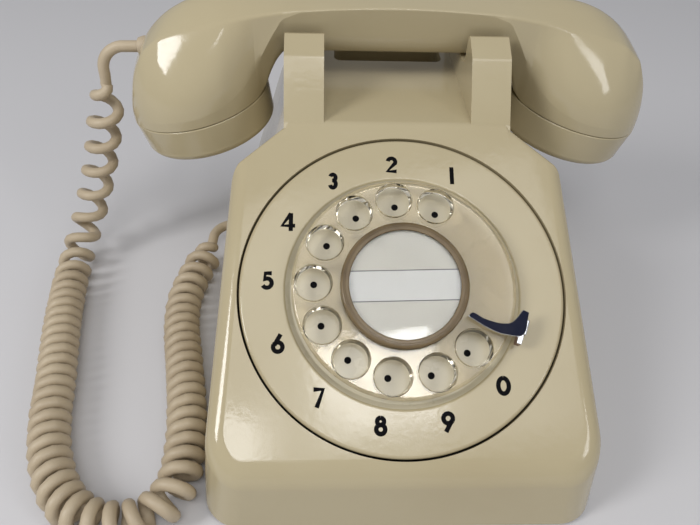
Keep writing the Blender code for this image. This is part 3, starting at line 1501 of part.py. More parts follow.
def make_cap(name, head):
    """A cap with its screw skirt, its holes and the capsule that it holds in the cup."""
    seam = -CLEARANCE
    edge = 3.2 * MM
    inner = CAP_WALL - CAP_DEPTH
    skirt_out = CUP_RADIUS - CLEARANCE
    skirt_in = skirt_out - CAP_WALL
    profile = [
        (0, inner + 1.0 * MM),
        (skirt_in, inner + 1.2 * MM),
        (skirt_in, CAP_SKIRT),
        (skirt_out, CAP_SKIRT),
        (skirt_out, seam),
        (SEAM_RADIUS - 0.4 * MM, seam),
        (SEAM_RADIUS, seam - 0.5 * MM),
        *arc((CAP_FACE_RADIUS - edge, -CAP_DEPTH + edge), edge, 8, -80, 3),
        (0, -CAP_DEPTH + 1.2 * MM),
    ]
    cap = turned(name + "_cap", profile, IVORY, steps=24, parent=head, ring=False)
    rings = ((1, 0.0), (8, 6.0 * MM)) if name == "transmitter" else ((1, 0.0), (6, 4.6 * MM))
    hole_radius = 1.1 * MM if name == "transmitter" else 1.4 * MM
    for count, ring_radius in rings:
        for i in range(count):
            angle = math.tau * i / count
            spot = Vector((ring_radius * math.cos(angle), ring_radius * math.sin(angle), 0))
            hole = rod(
                f"{name} hole {count} {i}",
                spot + Vector((0, 0, -CAP_DEPTH - 2 * MM)),
                spot + Vector((0, 0, inner + 3 * MM)),
                hole_radius,
                None,
                head,
                6,
            )
            combine(cap, hole)
    radius = skirt_in - CLEARANCE
    low = inner + 1.2 * MM + CLEARANCE
    top = CAP_SKIRT + (2 * MM if name == "transmitter" else 4 * MM)
    unit = [
        (0, top),
        (radius * 0.62, top),
        (radius * 0.7, top - 4 * MM),
        (radius, top - 5 * MM),
        (radius, low),
        (0, low),
    ]
    turned(name + "_unit", unit, STEEL if name == "receiver" else DARK, steps=18, parent=head, ring=False)


# Cord

# Where the lead from the handset ends, over the hanging stretch of the cord
CORD_TOP = (-117.5 * MM, 47.0 * MM, 92.0 * MM)

# Middle line of the curls: down from the handset, forward along the table and back to the housing
CURL_ROUTE = (
    (-117.5, 47.0, 91.7),
    (-118.2, 47.0, 86.5),
    (-123.0, 46.5, 67.0),
    (-130.0, 45.0, 45.0),
    (-138.0, 41.0, 24.0),
    (-142.8, 31.0, 11.5),
    (-143.0, 18.0, 8.2),
    (-141.4, 3.0, 8.2),
    (-137.6, -19.5, 8.2),
    (-132.8, -42.0, 8.2),
    (-129.0, -62.0, 8.2),
    (-124.4, -78.0, 8.2),
    (-117.0, -92.0, 8.2),
    (-106.5, -101.5, 8.2),
    (-94.5, -104.0, 8.2),
    (-84.0, -100.5, 8.2),
    (-77.8, -91.5, 8.2),
    (-76.7, -79.5, 8.2),
    (-78.3, -63.0, 8.2),
    (-82.7, -40.7, 8.2),
    (-87.3, -19.5, 8.2),
    (-88.9, -1.8, 8.2),
    (-86.4, 14.6, 8.4),
    (-82.8, 27.0, 9.4),
    (-81.2, 33.0, 10.6),
    (-80.9, 38.0, 11.0),
)


def curl_pitch(share, bend):
    """Advance of one curl: closed along the table, loose while it hangs and near the housing."""
    closed = (CORD_DIAMETER + CURL_GAP) / math.cos(math.radians(9)) / (1 - CURL_RADIUS * bend)
    hanging = 1 - min(1.0, max(0.0, (share - HANG_SHARE * 0.75) / (HANG_SHARE * 0.5)))
    ending = min(1.0, max(0.0, (share - LOOSE_SHARE) / (1 - LOOSE_SHARE)))
    return max(closed, closed + (LOOSE_PITCH - closed) * max(hanging, 0.45 * ending))


def curly_points(route):
    """The helix of the cord about its middle line, with straight ends of one diameter."""
    middle = smooth_route([[c * MM for c in point] for point in route], 0.5 * MM)
    for _ in range(30):
        middle[1:-1] = (middle[:-2] + 2 * middle[1:-1] + middle[2:]) / 4
    steps = np.diff(middle, axis=0)
    lengths = np.linalg.norm(steps, axis=1)
    tangents = steps / lengths[:, None]
    across = np.cross(tangents[0], (0.0, 1.0, 0.0))
    across /= np.linalg.norm(across)
    total = lengths.sum()
    ease = 2.5 * CORD_DIAMETER
    points, travelled, angle, next_angle = [], 0.0, 0.0, 0.0
    for i in range(len(tangents)):
        across -= tangents[i] * across.dot(tangents[i])
        across /= np.linalg.norm(across)
        upright = np.cross(tangents[i], across)
        ahead = tangents[min(i + 6, len(tangents) - 1)] - tangents[max(i - 6, 0)]
        bend = np.linalg.norm(ahead) / (12 * lengths[i])
        inside = travelled - CORD_DIAMETER
        if inside > 0 and total - travelled > CORD_DIAMETER:
            rest = min(inside, total - travelled - CORD_DIAMETER)
            radius = CURL_RADIUS * math.sin(math.pi / 2 * min(1.0, rest / ease))
            if angle >= next_angle:
                points.append(middle[i] + radius * (across * math.cos(angle) + upright * math.sin(angle)))
                next_angle += math.tau / CURL_POINTS
            angle += math.tau * lengths[i] / curl_pitch(travelled / total, min(bend, 0.1 / MM))
        travelled += lengths[i]
    start = [middle[0], middle[0] + tangents[0] * CORD_DIAMETER]
    end = [middle[-1] - tangents[-1] * CORD_DIAMETER, middle[-1]]
    return np.vstack([start, points, end]), angle / math.tau


def least_gap(points, diameter):
    """Smallest gap of the tube to itself, over stretches half a curl or more apart, on dense points."""
    dense = np.vstack([a + (b - a) * t for a, b in zip(points, points[1:]) for t in (np.array([[0.0], [0.5]]))])
    least = math.inf
    skip = CURL_POINTS
    for i in range(0, len(dense) - skip):
        distance = np.linalg.norm(dense[i + skip :] - dense[i], axis=1).min()
        least = min(least, distance)
    return least - diameter


def make_cord():
    """Lead at the handset, the curly stretch and the lead into the housing."""
    x, y, z = CORD_TOP
    start = LEAD_BORE_X - 3 * MM
    bend = 10.0 * MM
    lead = [(start, HANDSET_Y, LEAD_HEIGHT), (x + bend + 6 * MM, HANDSET_Y, LEAD_HEIGHT)]
    for i in range(1, 7):
        angle = math.radians(90 * i / 6)
        lead.append(
            (
                x + bend - bend * math.sin(angle),
                HANDSET_Y + (y - HANDSET_Y) * i / 6,
                LEAD_HEIGHT - bend * (1 - math.cos(angle)),
            )
        )
    lead.append((x, y, z))
    tube("cord_handset_lead", lead, CORD_DIAMETER / 2, CORD, sides_setting=2)
    points, curls = curly_points(CURL_ROUTE)
    tube("handset_cord", points, CORD_DIAMETER / 2, CORD, sides_setting=CORD_SIDES_SETTING)
    length = np.linalg.norm(np.diff(points, axis=0), axis=1).sum()
    gap = least_gap(points, CORD_DIAMETER)
    print(f"curly cord: {curls:.1f} curls, {length:.3f} m, least gap to itself {gap / MM:.2f} mm")
    print(f"curly cord lowest point {(points[:, 2].min() - CORD_DIAMETER / 2) / MM:.2f} mm, {len(points)} points")
    end_x, end_y, end_z = (c * MM for c in CURL_ROUTE[-1])
    turn = INLET_Y - end_y
    body_lead = [(end_x, end_y + CLEARANCE, end_z)]
    for i in range(1, 7):
        angle = math.radians(90 * i / 6)
        body_lead.append((end_x + turn * (1 - math.cos(angle)), end_y + turn * math.sin(angle), INLET_Z))
    body_lead.append((-BASE_HALF_WIDTH + 8 * MM, INLET_Y, INLET_Z))
    tube("cord_body_lead", body_lead, CORD_DIAMETER / 2, CORD, sides_setting=2)


def main():
    make_housing()
    make_base()
    make_dial()
    make_hook_switch()
    make_ringer()
    make_network()
    make_handset()
    make_cord()


main()
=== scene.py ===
"""Looks of a desk telephone with a rotary dial, a handset across its cradle and a curly cord.

Metres, +Z up, +X to the right of the person who dials, -Y towards them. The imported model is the
frame: the pieces here stand for its solids, at the same places, and every other solid gets its
finish.
"""

import logging
import math
from collections.abc import Callable, Iterator, Sequence
from contextlib import contextmanager
from dataclasses import dataclass
from enum import Enum
from itertools import pairwise

import bmesh
import bpy
import numpy as np
from bmesh.types import BMEdge, BMFace
from bpy.types import Material, NodeSocket, NodeTree, Object, ShaderNode
from mathutils import Matrix, Vector


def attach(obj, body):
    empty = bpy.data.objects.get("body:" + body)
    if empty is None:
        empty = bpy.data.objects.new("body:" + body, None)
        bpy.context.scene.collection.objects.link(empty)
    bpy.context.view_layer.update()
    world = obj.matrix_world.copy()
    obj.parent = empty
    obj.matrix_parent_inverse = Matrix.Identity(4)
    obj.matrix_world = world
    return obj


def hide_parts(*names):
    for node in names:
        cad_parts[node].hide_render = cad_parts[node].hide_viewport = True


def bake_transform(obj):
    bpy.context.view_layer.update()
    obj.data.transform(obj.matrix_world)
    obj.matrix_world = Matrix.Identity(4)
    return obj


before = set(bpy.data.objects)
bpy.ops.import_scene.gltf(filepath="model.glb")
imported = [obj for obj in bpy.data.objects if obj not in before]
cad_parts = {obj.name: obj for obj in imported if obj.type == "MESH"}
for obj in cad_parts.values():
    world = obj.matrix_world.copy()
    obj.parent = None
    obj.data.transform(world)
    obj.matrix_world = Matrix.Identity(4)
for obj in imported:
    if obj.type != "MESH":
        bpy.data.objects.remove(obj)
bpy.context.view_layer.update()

LOG = logging.getLogger("telephone")
MM = 0.001
CLEARANCE = 0.3 * MM
# Points that are closer than this are one point
MERGE = 0.001 * MM

Point2 = tuple[float, float]
Point3 = tuple[float, float, float]


class Side(Enum):
    """The two ends of the handset."""

    TRANSMITTER = -1
    RECEIVER = 1


class Solver(Enum):
    """The two solvers of a Boolean modifier."""

    EXACT = "EXACT"
    MANIFOLD = "MANIFOLD"


class Operation(Enum):
    """What a Boolean modifier does with a second shape."""

    CUT = "DIFFERENCE"
    ADD = "UNION"


# Modelling by operators


def deselect_all() -> None:
    """Leaves object mode with nothing selected."""
    if bpy.context.mode != "OBJECT":
        bpy.ops.object.mode_set(mode="OBJECT")
    bpy.ops.object.select_all(action="DESELECT")


def choose(item: Object) -> Object:
    """Selects one object alone and makes it active.

    Args:
        item: The object to select.

    Returns:
        The same object.
    """
    deselect_all()
    item.select_set(True)
    bpy.context.view_layer.objects.active = item
    return item


@contextmanager
def editing(item: Object) -> Iterator[None]:
    """Edit mode on one object, in edge selection, with all of it selected.

    Args:
        item: The object to edit.

    Yields:
        Nothing, while the object is in edit mode.
    """
    choose(item)
    bpy.ops.object.mode_set(mode="EDIT")
    bpy.context.tool_settings.mesh_select_mode = (False, True, False)
    bpy.ops.mesh.select_all(action="SELECT")
    try:
        yield
    finally:
        bpy.ops.object.mode_set(mode="OBJECT")


def named(name: str) -> Object:
    """Names the active object and its mesh.

    Args:
        name: The piece's name.

    Returns:
        The active object.
    """
    item = bpy.context.object
    item.name = name
    item.data.name = name
    return item


def modified(item: Object, kind: str, **settings: object) -> Object:
    """Adds one modifier and applies it.

    Args:
        item: The object to change.
        kind: The modifier's type.
        settings: The modifier's values by name.

    Returns:
        The same object.
    """
    choose(item)
    modifier = item.modifiers.new(kind.lower(), kind)
    for key, value in settings.items():
        setattr(modifier, key, value)
    bpy.ops.object.modifier_apply(modifier=modifier.name)
    return item


def combined(
    item: Object,
    other: Object,
    operation: Operation = Operation.CUT,
    solver: Solver = Solver.EXACT,
) -> Object:
    """Cuts by a second object or adds it, and removes it afterwards.

    Args:
        item: The object to change.
        other: The cutter or the shape to add.
        operation: Whether the second object is cut out or added.
        solver: Which Boolean solver works on these two.

    Returns:
        The first object.
    """
    modified(item, "BOOLEAN", object=other, operation=operation.value, solver=solver.value)
    bpy.data.objects.remove(other, do_unlink=True)
    return item


def rounded(item: Object, width: float, segments: int = 4, angle: float = 40.0) -> Object:
    """Rounds the edges that turn by more than an angle.

    Args:
        item: The object to round.
        width: How far the rounding reaches along each face.
        segments: Faces across the rounding.
        angle: The least turn in degrees.

    Returns:
        The same object.
    """
    return modified(
        item,
        "BEVEL",
        width=width,
        segments=segments,
        limit_method="ANGLE",
        angle_limit=math.radians(angle),
        harden_normals=False,
        miter_outer="MITER_ARC",
    )


def smoothed(item: Object, angle: float = 32.0, weighted: bool = True) -> Object:
    """Smooth shading that leaves sharper edges sharp and flat faces flat.

    Args:
        item: The object to shade.
        angle: The least turn of a sharp edge in degrees.
        weighted: Whether large faces keep their own normals.

    Returns:
        The same object.
    """
    choose(item)
    bpy.ops.object.shade_smooth_by_angle(angle=math.radians(angle))
    if weighted:
        modified(item, "WEIGHTED_NORMAL", keep_sharp=True, weight=80)
    return item


def settled(item: Object, place: Matrix | None = None) -> Object:
    """Moves the place of an object into its mesh.

    Args:
        item: The object to settle.
        place: A frame to put it in first.

    Returns:
        The same object, at the origin.
    """
    if place is not None:
        item.matrix_world = place @ item.matrix_world
    choose(item)
    bpy.ops.object.transform_apply(location=True, rotation=True, scale=True)
    return item


def block(name: str, low: Sequence[float], high: Sequence[float]) -> Object:
    """A box between two corners, with its place in its mesh.

    Args:
        name: The piece's name.
        low: The lowest corner.
        high: The highest corner.

    Returns:
        The new object.
    """
    deselect_all()
    middle = (Vector(low) + Vector(high)) / 2
    bpy.ops.mesh.primitive_cube_add(size=1, location=middle)
    item = named(name)
    item.scale = Vector(high) - Vector(low)
    return settled(item)


def rod(
    name: str, start: Sequence[float], end: Sequence[float], radius: float, sides: int = 48
) -> Object:
    """A round bar between two points.

    Args:
        name: The piece's name.
        start: The middle of one end.
        end: The middle of the other end.
        radius: The bar's radius.
        sides: Faces round the bar.

    Returns:
        The new object.
    """
    deselect_all()
    along = Vector(end) - Vector(start)
    bpy.ops.mesh.primitive_cylinder_add(vertices=sides, radius=radius, depth=along.length)
    item = named(name)
    turn = along.to_track_quat("Z", "Y").to_matrix().to_4x4()
    item.matrix_world = Matrix.Translation((Vector(start) + Vector(end)) / 2) @ turn
    return settled(item)


def drawn(name: str, points: Sequence[Sequence[float]]) -> Object:
    """A line of edges through points, made by extruding one vertex.

    Args:
        name: The piece's name.
        points: The places of the line's corners.

    Returns:
        The new object, whose mesh is the line.
    """
    deselect_all()
    bpy.ops.mesh.primitive_plane_add(size=MM)
    item = named(name)
    with editing(item):
        bpy.context.tool_settings.mesh_select_mode = (True, False, False)
        bpy.ops.mesh.merge(type="CENTER")
        bpy.ops.transform.translate(value=points[0])
        for near, far in pairwise(points):
            step = Vector(far) - Vector(near)
            bpy.ops.mesh.extrude_region_move(TRANSFORM_OT_translate={"value": step})
    return item


def outlined(name: str, outline: Sequence[Sequence[float]]) -> Object:
    """A flat face with the given corners.

    Args:
        name: The piece's name.
        outline: The corners in space.

    Returns:
        The new object.
    """
    item = drawn(name, [*outline, outline[0]])
    with editing(item):
        bpy.ops.mesh.remove_doubles(threshold=MERGE / 2)
        bpy.ops.mesh.edge_face_add()
    return item


def sliced(item: Object, point: Sequence[float], normal: Sequence[float]) -> Object:
    """Cuts a solid by a plane and keeps the side away from the normal.

    Args:
        item: The object to cut.
        point: A point on the plane.
        normal: The plane's direction, towards what is cut away.

    Returns:
        The same object.
    """
    with editing(item):
        bpy.ops.mesh.bisect(
            plane_co=point, plane_no=normal, use_fill=True, clear_outer=True, threshold=MERGE
        )
        bpy.ops.mesh.select_all(action="SELECT")
        bpy.ops.mesh.normals_make_consistent(inside=False)
    return item


def eased(item: Object, width: float, segments: int, weight: Callable[[BMEdge], float]) -> Object:
    """Rounds edges by different amounts.

    Args:
        item: The object to round.
        width: The widest rounding.
        segments: Faces across each rounding.
        weight: The share of the widest rounding that an edge gets.

    Returns:
        The same object.
    """
    with editing(item):
        shape = bmesh.from_edit_mesh(item.data)
        shape.normal_update()
        layer = shape.edges.layers.float.get("bevel_weight_edge")
        layer = layer or shape.edges.layers.float.new("bevel_weight_edge")
        for edge in shape.edges:
            edge[layer] = weight(edge) if len(edge.link_faces) == 2 else 0.0
        bmesh.update_edit_mesh(item.data)
    modified(item, "BEVEL", width=width, segments=segments, limit_method="WEIGHT", use_clamp_overlap=True)
    item.data.attributes.remove(item.data.attributes["bevel_weight_edge"])
    return item


def lofted(name: str, rings: Sequence[np.ndarray]) -> Object:
    """A closed form, extruded from one ring of points to the next.

    Args:
        name: The piece's name.
        rings: Arrays with one row for each corner, all of one length.

    Returns:
        The new object.
    """
    item = outlined(name, rings[0])
    with editing(item):
        for near, far in pairwise(rings):
            bpy.ops.mesh.extrude_region_move(TRANSFORM_OT_translate={"value": (0, 0, 0)})
            shape = bmesh.from_edit_mesh(item.data)
            for vert in shape.verts:
                if vert.select:
                    nearest = np.argmin(((near - np.array(vert.co)) ** 2).sum(axis=1))
                    vert.co = far[nearest]
            bmesh.update_edit_mesh(item.data)
        bpy.ops.mesh.select_all(action="SELECT")
        bpy.ops.mesh.normals_make_consistent(inside=False)
    return item


def turned(
    name: str,
    profile: Sequence[Point2],
    steps: int = 96,
    closed: bool = False,
    place: Matrix | None = None,
) -> Object:
    """A profile of (radius, height) spun about Z.

    Args:
        name: The piece's name.
        profile: The profile's corners.
        steps: Faces round the piece.
        closed: Whether the profile runs back to its first corner.
        place: The frame that the piece stands in.

    Returns:
        The new object.
    """
    corners = [(radius, 0.0, height) for radius, height in profile]
    if closed:
        corners.append(corners[0])
    item = drawn(name, corners)
    with editing(item):
        bpy.ops.mesh.remove_doubles(threshold=MERGE)
        bpy.ops.mesh.spin(steps=steps, angle=math.tau, center=(0, 0, 0), axis=(0, 0, 1))
        bpy.ops.mesh.select_all(action="SELECT")
        bpy.ops.mesh.remove_doubles(threshold=MERGE)
        bpy.ops.mesh.normals_make_consistent(inside=False)
    return settled(item, place)


def cut_out(name: str, outline: Sequence[Sequence[float]], depth: Sequence[float]) -> Object:
    """A flat outline pushed out along a direction.

    Args:
        name: The piece's name.
        outline: The outline's corners in space.
        depth: How far and which way it is extruded.

    Returns:
        The new object.
    """
    item = outlined(name, outline)
    with editing(item):
        bpy.ops.mesh.extrude_region_move(TRANSFORM_OT_translate={"value": depth})
        bpy.ops.mesh.select_all(action="SELECT")
        bpy.ops.mesh.normals_make_consistent(inside=False)
    return item


def joined(name: str, items: Sequence[Object]) -> Object:
    """One object from several.

    Args:
        name: The name of the whole.
        items: The objects to join.

    Returns:
        The joined object.
    """
    deselect_all()
    for item in items:
        item.select_set(True)
    bpy.context.view_layer.objects.active = items[0]
    bpy.ops.object.join()
    return named(name)


def copied(item: Object, name: str, shift: Sequence[float]) -> Object:
    """A copy with a mesh of its own, moved by a distance.

    Args:
        item: The object to copy.
        name: The copy's name.
        shift: How far the copy is moved.

    Returns:
        The copy.
    """
    choose(item)
    bpy.ops.object.duplicate(linked=False)
    twin = named(name)
    twin.location = shift
    return settled(twin)


def tube(name: str, points: Sequence[Sequence[float]], radius: float, resolution: int) -> Object:
    """A round tube along a line of points, as a mesh with closed ends.

    Args:
        name: The piece's name.
        points: The places that its middle line joins.
        radius: The tube's radius.
        resolution: How finely its section is divided.

    Returns:
        The new object.
    """
    curve = bpy.data.curves.new(name, "CURVE")
    curve.dimensions = "3D"
    curve.bevel_depth = radius
    curve.bevel_resolution = resolution
    curve.use_fill_caps = True
    spline = curve.splines.new("POLY")
    spline.points.add(len(points) - 1)
    spline.points.foreach_set("co", np.c_[points, np.ones(len(points))].ravel())
    item = bpy.data.objects.new(name, curve)
    bpy.context.scene.collection.objects.link(item)
    choose(item)
    bpy.ops.object.convert(target="MESH")
    return named(name)


def arc(centre: Point2, radius: float, start: float, end: float, segments: int = 8) -> list[Point2]:
    """Points of an arc in a profile or an outline.

    Args:
        centre: The arc's centre.
        radius: Its radius.
        start: The first angle in degrees.
        end: The last angle in degrees.
        segments: How many chords it has.

    Returns:
        The points from start to end.
    """
    angles = np.radians(np.linspace(start, end, segments + 1))
    return [(centre[0] + radius * math.cos(a), centre[1] + radius * math.sin(a)) for a in angles]


def smooth_route(points: Sequence[Sequence[float]], spacing: float) -> np.ndarray:
    """Points at an even spacing on a Catmull-Rom curve through the given ones.

    Args:
        points: The places that the curve passes.
        spacing: The distance between the points returned.

    Returns:
        An array with one row for each point.
    """
    given = np.array(points, float)
    padded = np.vstack([2 * given[0] - given[1], given, 2 * given[-1] - given[-2]])
    dense = []
    for a, b, c, d in zip(padded, padded[1:], padded[2:], padded[3:]):
        for t in np.linspace(0, 1, 24, endpoint=False):
            bow = 2 * b + (c - a) * t + (2 * a - 5 * b + 4 * c - d) * t**2
            dense.append(0.5 * (bow + (3 * b - a - 3 * c + d) * t**3))
    dense = np.array([*dense, given[-1]])
    lengths = np.r_[0, np.cumsum(np.linalg.norm(np.diff(dense, axis=0), axis=1))]
    wanted = np.linspace(0, lengths[-1], max(2, round(lengths[-1] / spacing)) + 1)
    return np.stack([np.interp(wanted, lengths, dense[:, k]) for k in range(3)], axis=1)


# Finishes

# Between these values of the noise, patches fade in, gloss changes and scratches show
PATCH_BAND = (0.42, 0.72)
GLOSS_BAND = (0.3, 0.7)
SCRATCH_BAND = (0.68, 0.74)


@dataclass(frozen=True)
class Finish:
    """A moulded, metal or paper surface with its own unevenness.

    Attributes:
        name: The material's name.
        colour: Its colour where it is clean.
        shade: The colour of its darker patches.
        roughness: The least and the greatest roughness.
        patch_scale: How many patches of shade lie in a metre.
        patch_cover: How much of the shade colour shows, from 0 to 1.
        grain_scale: How fine the relief is, per metre.
        grain_depth: The relief's height in metres.
        metallic: 1 for a metal.
        scratches: Depth of fine scratches in the roughness.
        specular: How strongly its clean surface mirrors.
    """

    name: str
    colour: Point3
    shade: Point3
    roughness: Point2
    patch_scale: float = 30.0
    patch_cover: float = 0.6
    grain_scale: float = 900.0
    grain_depth: float = 0.02 * MM
    metallic: float = 0.0
    scratches: float = 0.0
    specular: float = 0.5

    def shader(self, material: Material) -> ShaderNode:
        """Sets the plain values on the material's shader.

        Args:
            material: The material to set.

        Returns:
            Its Principled shader node.
        """
        shader = material.node_tree.nodes["Principled BSDF"]
        shader.inputs["Metallic"].default_value = self.metallic
        shader.inputs["Specular IOR Level"].default_value = self.specular
        return shader

    def build(self) -> Material:
        """Makes the node material.

        Returns:
            The new material.
        """
        material = bpy.data.materials.new(self.name)
        material.use_nodes = True
        material.diffuse_color = (*self.colour, 1)
        shader = self.shader(material)
        tree = material.node_tree
        nodes, links = tree.nodes, tree.links
        place = nodes.new("ShaderNodeTexCoord").outputs["Object"]
        patches = noise(tree, place, self.patch_scale, detail=5.0)
        mix = nodes.new("ShaderNodeMix")
        mix.data_type = "RGBA"
        mix.inputs["A"].default_value = (*self.colour, 1)
        mix.inputs["B"].default_value = (*self.shade, 1)
        links.new(mapped(tree, patches, PATCH_BAND, (0.0, self.patch_cover)), mix.inputs["Factor"])
        links.new(mix.outputs["Result"], shader.inputs["Base Color"])
        wear = noise(tree, place, self.patch_scale * 3.7, detail=6.0)
        rough = mapped(tree, wear, GLOSS_BAND, self.roughness)
        if self.scratches:
            rough = self.scratched(tree, place, rough)
        links.new(rough, shader.inputs["Roughness"])
        bump = nodes.new("ShaderNodeBump")
        bump.inputs["Strength"].default_value = 1.0
        bump.inputs["Distance"].default_value = self.grain_depth
        links.new(noise(tree, place, self.grain_scale, detail=3.0), bump.inputs["Height"])
        links.new(bump.outputs["Normal"], shader.inputs["Normal"])
        return material

    def scratched(self, tree: NodeTree, place: NodeSocket, rough: NodeSocket) -> NodeSocket:
        """Adds fine crossing scratches to the roughness.

        Args:
            tree: The material's nodes.
            place: The coordinates that they read.
            rough: The roughness without scratches.

        Returns:
            The roughness with scratches.
        """
        nodes, links = tree.nodes, tree.links
        # Each family of scratches has its turn about Z and its scale along each axis
        for turn, stretch in ((0.6, (900.0, 26.0, 200.0)), (2.0, (26.0, 700.0, 240.0))):
            mapping = nodes.new("ShaderNodeMapping")
            mapping.inputs["Rotation"].default_value = (0.3, 0.2, turn)
            mapping.inputs["Scale"].default_value = stretch
            links.new(place, mapping.inputs["Vector"])
            lines = noise(tree, mapping.outputs["Vector"], 1.0, detail=2.0)
            total = nodes.new("ShaderNodeMath")
            total.operation = "ADD"
            total.use_clamp = True
            links.new(rough, total.inputs[0])
            links.new(mapped(tree, lines, SCRATCH_BAND, (0.0, self.scratches)), total.inputs[1])
            rough = total.outputs["Value"]
        return rough


@dataclass(frozen=True)
class ClearFinish(Finish):
    """A clear plastic, slightly yellowed."""

    ior: float = 1.49

    def shader(self, material: Material) -> ShaderNode:
        """Sets a clear body with its refraction.

        Args:
            material: The material to set.

        Returns:
            Its Principled shader node.
        """
        shader = super().shader(material)
        shader.inputs["Transmission Weight"].default_value = 1.0
        shader.inputs["IOR"].default_value = self.ior
        return shader


def noise(tree: NodeTree, place: NodeSocket, scale: float, detail: float) -> NodeSocket:
    """A noise texture's value.

    Args:
        tree: The nodes to add it to.
        place: The coordinates that it reads.
        scale: Its scale, per metre.
        detail: How many octaves it has.

    Returns:
        The socket with its value.
    """
    texture = tree.nodes.new("ShaderNodeTexNoise")
    texture.inputs["Scale"].default_value = scale
    texture.inputs["Detail"].default_value = detail
    tree.links.new(place, texture.inputs["Vector"])
    return texture.outputs["Fac"]


def mapped(tree: NodeTree, value: NodeSocket, given: Point2, wanted: Point2) -> NodeSocket:
    """A value stretched from one range to another.

    Args:
        tree: The nodes to add it to.
        value: The socket that is read.
        given: The least and the greatest value that is read.
        wanted: What these two become.

    Returns:
        The socket with the new value.
    """
    node = tree.nodes.new("ShaderNodeMapRange")
    limits = ("From Min", "From Max", "To Min", "To Max")
    for name, limit in zip(limits, (*given, *wanted), strict=True):
        node.inputs[name].default_value = limit
    tree.links.new(value, node.inputs["Value"])
    return node.outputs["Result"]


